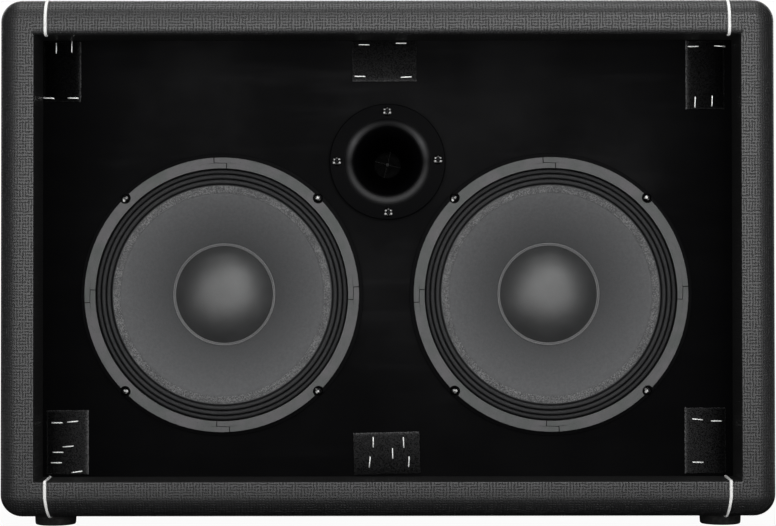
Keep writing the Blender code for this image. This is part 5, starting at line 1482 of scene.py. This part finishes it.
knob_line = [
    (0, 0.0095), (0.0040, 0.0095), (0.0072, 0.0095), (0.0079, 0.0094), (0.0085, 0.0090),
    (0.0088, 0.0084), (0.0090, 0.0068), (0.0094, 0.0032), (0.0096, 0.0026), (0.0099, 0.0023),
    (0.0100, 0.0018), (0.0100, 0), (0.0033, 0), (0.0033, 0.0065), (0, 0.0065),
]
knob = turned(knob_line, 144)
fluted = 1 - 0.05 * (0.5 - 0.5 * np.cos(FLUTES * np.linspace(0, 2 * math.pi, 145)))
knob[5:8, :, :2] *= fluted[:, None]
knob[:, -1] = knob[:, 0]
piece(
    "fluted_knob",
    [grid(facing(knob, (KNOB_X, KNOB_BASE, PLATE_Z), "back"), knob[..., :2])],
    knob_plastic,
    body="knob_assembly",
    replaced=["attenuator_knob"],
    sharp=40,
)

for number, (x_side, z_side) in enumerate(CORNERS, 1):
    place = (x_side * PLATE_SCREW_X, PLATE_FACE, PLATE_Z + z_side * PLATE_SCREW_Z)
    black_screw(f"jack_plate_screw_{number}", place, "back", PLATE_SCREW, 0.3 * number)
panel_screws = [(x, z) for x in PANEL_SCREW_X for z in PANEL_SCREW_Z[::3]]
panel_screws += [(x, z) for x in PANEL_SCREW_X[::3] for z in PANEL_SCREW_Z[1:3]]
for number, (x, z) in enumerate(panel_screws, 1):
    place = (x, PANEL_FACE, z)
    black_screw(f"back_panel_screw_{number:02d}", place, "back", PANEL_SCREW, 0.7 * number)

# Inside: the crossover, a green circuit board with its coils and capacitors, screwed to the back
# panel, and the rubber-sleeved lead from the input jack.

board = Finish("circuit_board", (0.03, 0.14, 0.06), 0.45, specular=0.5)
board_cloud = board.noise(90, 4, 0.6)
board.tint(board_cloud.rise(0.35, 0.65), (0.024, 0.12, 0.05), (0.04, 0.17, 0.075))
board.emboss(board_cloud, 0.0001)
dress(board, "crossover")
sleeve = Finish("lead_sleeve", (0.02, 0.02, 0.02), 0.55, specular=0.4)
sleeve.emboss(sleeve.noise(600), 0.0001)
dress(sleeve, "input_lead")

# Floor, lamps and camera: a pale floor in a white room, both dimmer in reflections than to the camera.
# Soft lamps stand in front (a wide one, a key lamp above it to the right, one low on each side and a
# long one high up), over the top, and behind. The camera faces the front squarely.

SEEN_FLOOR = 0.96
ROOM_LIGHT = 0.40
FRONT_GLOSS = 0.6
SIDE_GLOSS = 0.02
FLOOR_GLOSS = 0.8
FLOOR_HALF = 30


def ray_kinds(graph):
    """1 for the camera's own rays, and 1 for reflections and for rays through clear materials."""
    camera_ray, glossy_ray, clear_ray = (
        graph.add("LightPath", None, None, f"Is {kind} Ray") for kind in ("Camera", "Glossy", "Transmission")
    )
    return camera_ray, glossy_ray.most(clear_ray)


floor_paint = Finish("floor_paint", (0.5, 0.5, 0.5), 0.9, specular=0.0)
beside = (floor_paint.along(0).size() - HALF_WIDTH).most(0.0)
before = (floor_paint.along(1).size() - BACK).most(0.0)
clear_of_box = ((beside * beside + before * before) ** 0.5).rise(0.12, 0.42)
floor_seen, floor_mirrored = ray_kinds(floor_paint)
floor_middle = floor_paint.along(0).size().rise(0.45, 1.3, 1.0, 0.03)
floor_shown = clear_of_box * floor_middle * floor_paint.along(1).rise(-0.4, 0.4, FLOOR_GLOSS, 1.0)
floor_white = floor_seen.most(floor_shown)
floor_glow = floor_paint.add("Emission", None, {"Color": (1.0, 1.0, 1.0), "Strength": floor_white})
floor_share = floor_mirrored.most(floor_seen * SEEN_FLOOR)
floor_mix = floor_paint.add("MixShader", None, {0: floor_share, 2: floor_glow})
floor_paint.tree.links.new(floor_paint.shader.outputs[0], floor_mix.socket.node.inputs[1])
floor_paint.tree.links.new(floor_mix.socket, floor_paint.tree.nodes["Material Output"].inputs["Surface"])
floor_mesh = bpy.data.meshes.new("floor")
floor_corners = [(x * FLOOR_HALF, y * FLOOR_HALF, 0) for x, y in ((-1, -1), (1, -1), (1, 1), (-1, 1))]
floor_mesh.from_pydata(floor_corners, [], [(0, 1, 2, 3)])
floor_mesh.materials.append(floor_paint.material)
floor = bpy.data.objects.new("floor", floor_mesh)
bpy.context.scene.collection.objects.link(floor)

world = bpy.data.worlds.new("studio")
bpy.context.scene.world = world
room = Graph(world)
room_light = room.tree.nodes["Background"]
room.fill(room_light.inputs["Color"], (1.0, 1.0, 1.0))
room_seen, room_mirrored = ray_kinds(room)
room_side = room.add("SeparateXYZ", None, {0: room.add("TexCoord", None, None, "Generated")}, 1)
room_shown = room_side.rise(-1.0, -0.35, FRONT_GLOSS, SIDE_GLOSS).most(room_side.rise(0.5, 1.0))
room_white = room_seen.most(room_mirrored * room_shown)
room.fill(room_light.inputs["Strength"], room_white.most((1 - room_mirrored) * ROOM_LIGHT))


def soft_lamp(name, place, aim, width, height, power):
    """A rectangular lamp of so many watts that faces a point."""
    lamp = bpy.data.lights.new(name, "AREA")
    lamp.shape = "RECTANGLE"
    lamp.size = width
    lamp.size_y = height
    lamp.energy = power
    made = bpy.data.objects.new(name, lamp)
    ahead = np.array(aim) - np.array(place)
    ahead = ahead / np.linalg.norm(ahead)
    right = np.cross(ahead, (0, 0, 1.0))
    right = right / np.linalg.norm(right)
    up = np.cross(right, ahead)
    made.matrix_world = Matrix.Translation(place) @ Matrix(np.column_stack([right, up, -ahead])).to_4x4()
    bpy.context.scene.collection.objects.link(made)


soft_lamp("front_lamp", (0.0, -2.35, 0.47), (0, -0.15, 0.25), 1.9, 0.8, 16)
soft_lamp("key_lamp", (0.62, -2.0, 1.26), (0, -0.15, 0.25), 0.45, 0.45, 6.5)
soft_lamp("low_left_lamp", (-1.30, -1.90, 0.16), (0, -0.15, 0.2), 0.4, 0.25, 2.4)
soft_lamp("low_right_lamp", (1.15, -2.05, 0.16), (0, -0.15, 0.2), 0.4, 0.25, 2.4)
soft_lamp("upper_lamp", (0.0, -1.9, 1.55), (0, -0.15, 0.3), 1.8, 0.25, 5)
soft_lamp("top_lamp", (0.0, -0.25, 2.4), (0, -0.1, 0.3), 2.0, 1.6, 26)
soft_lamp("left_lamp", (-1.7, 2.7, 1.3), (0, 0, 0.25), 1.2, 1.2, 6)
soft_lamp("right_lamp", (1.7, 2.7, 1.3), (0, 0, 0.25), 1.2, 1.2, 6)
soft_lamp("back_lamp", (0.0, 2.4, 1.6), (0, 0.15, 0.25), 2.0, 1.4, 20)

lens = bpy.data.cameras.new("camera")
lens.sensor_width = 36.0
lens.lens = 102.25
lens.shift_x = 0.0005
lens.shift_y = -0.0271
lens.clip_end = 100
camera = bpy.data.objects.new("camera", lens)
camera.matrix_world = (
    Matrix.Translation((0, -2.2, 0.2289))
    @ Matrix.Rotation(math.radians(90.896), 4, "X")
    @ Matrix.Rotation(-0.0013, 4, "Z")
)
bpy.context.scene.collection.objects.link(camera)
bpy.context.scene.camera = camera
bpy.context.scene.view_settings.view_transform = "Standard"
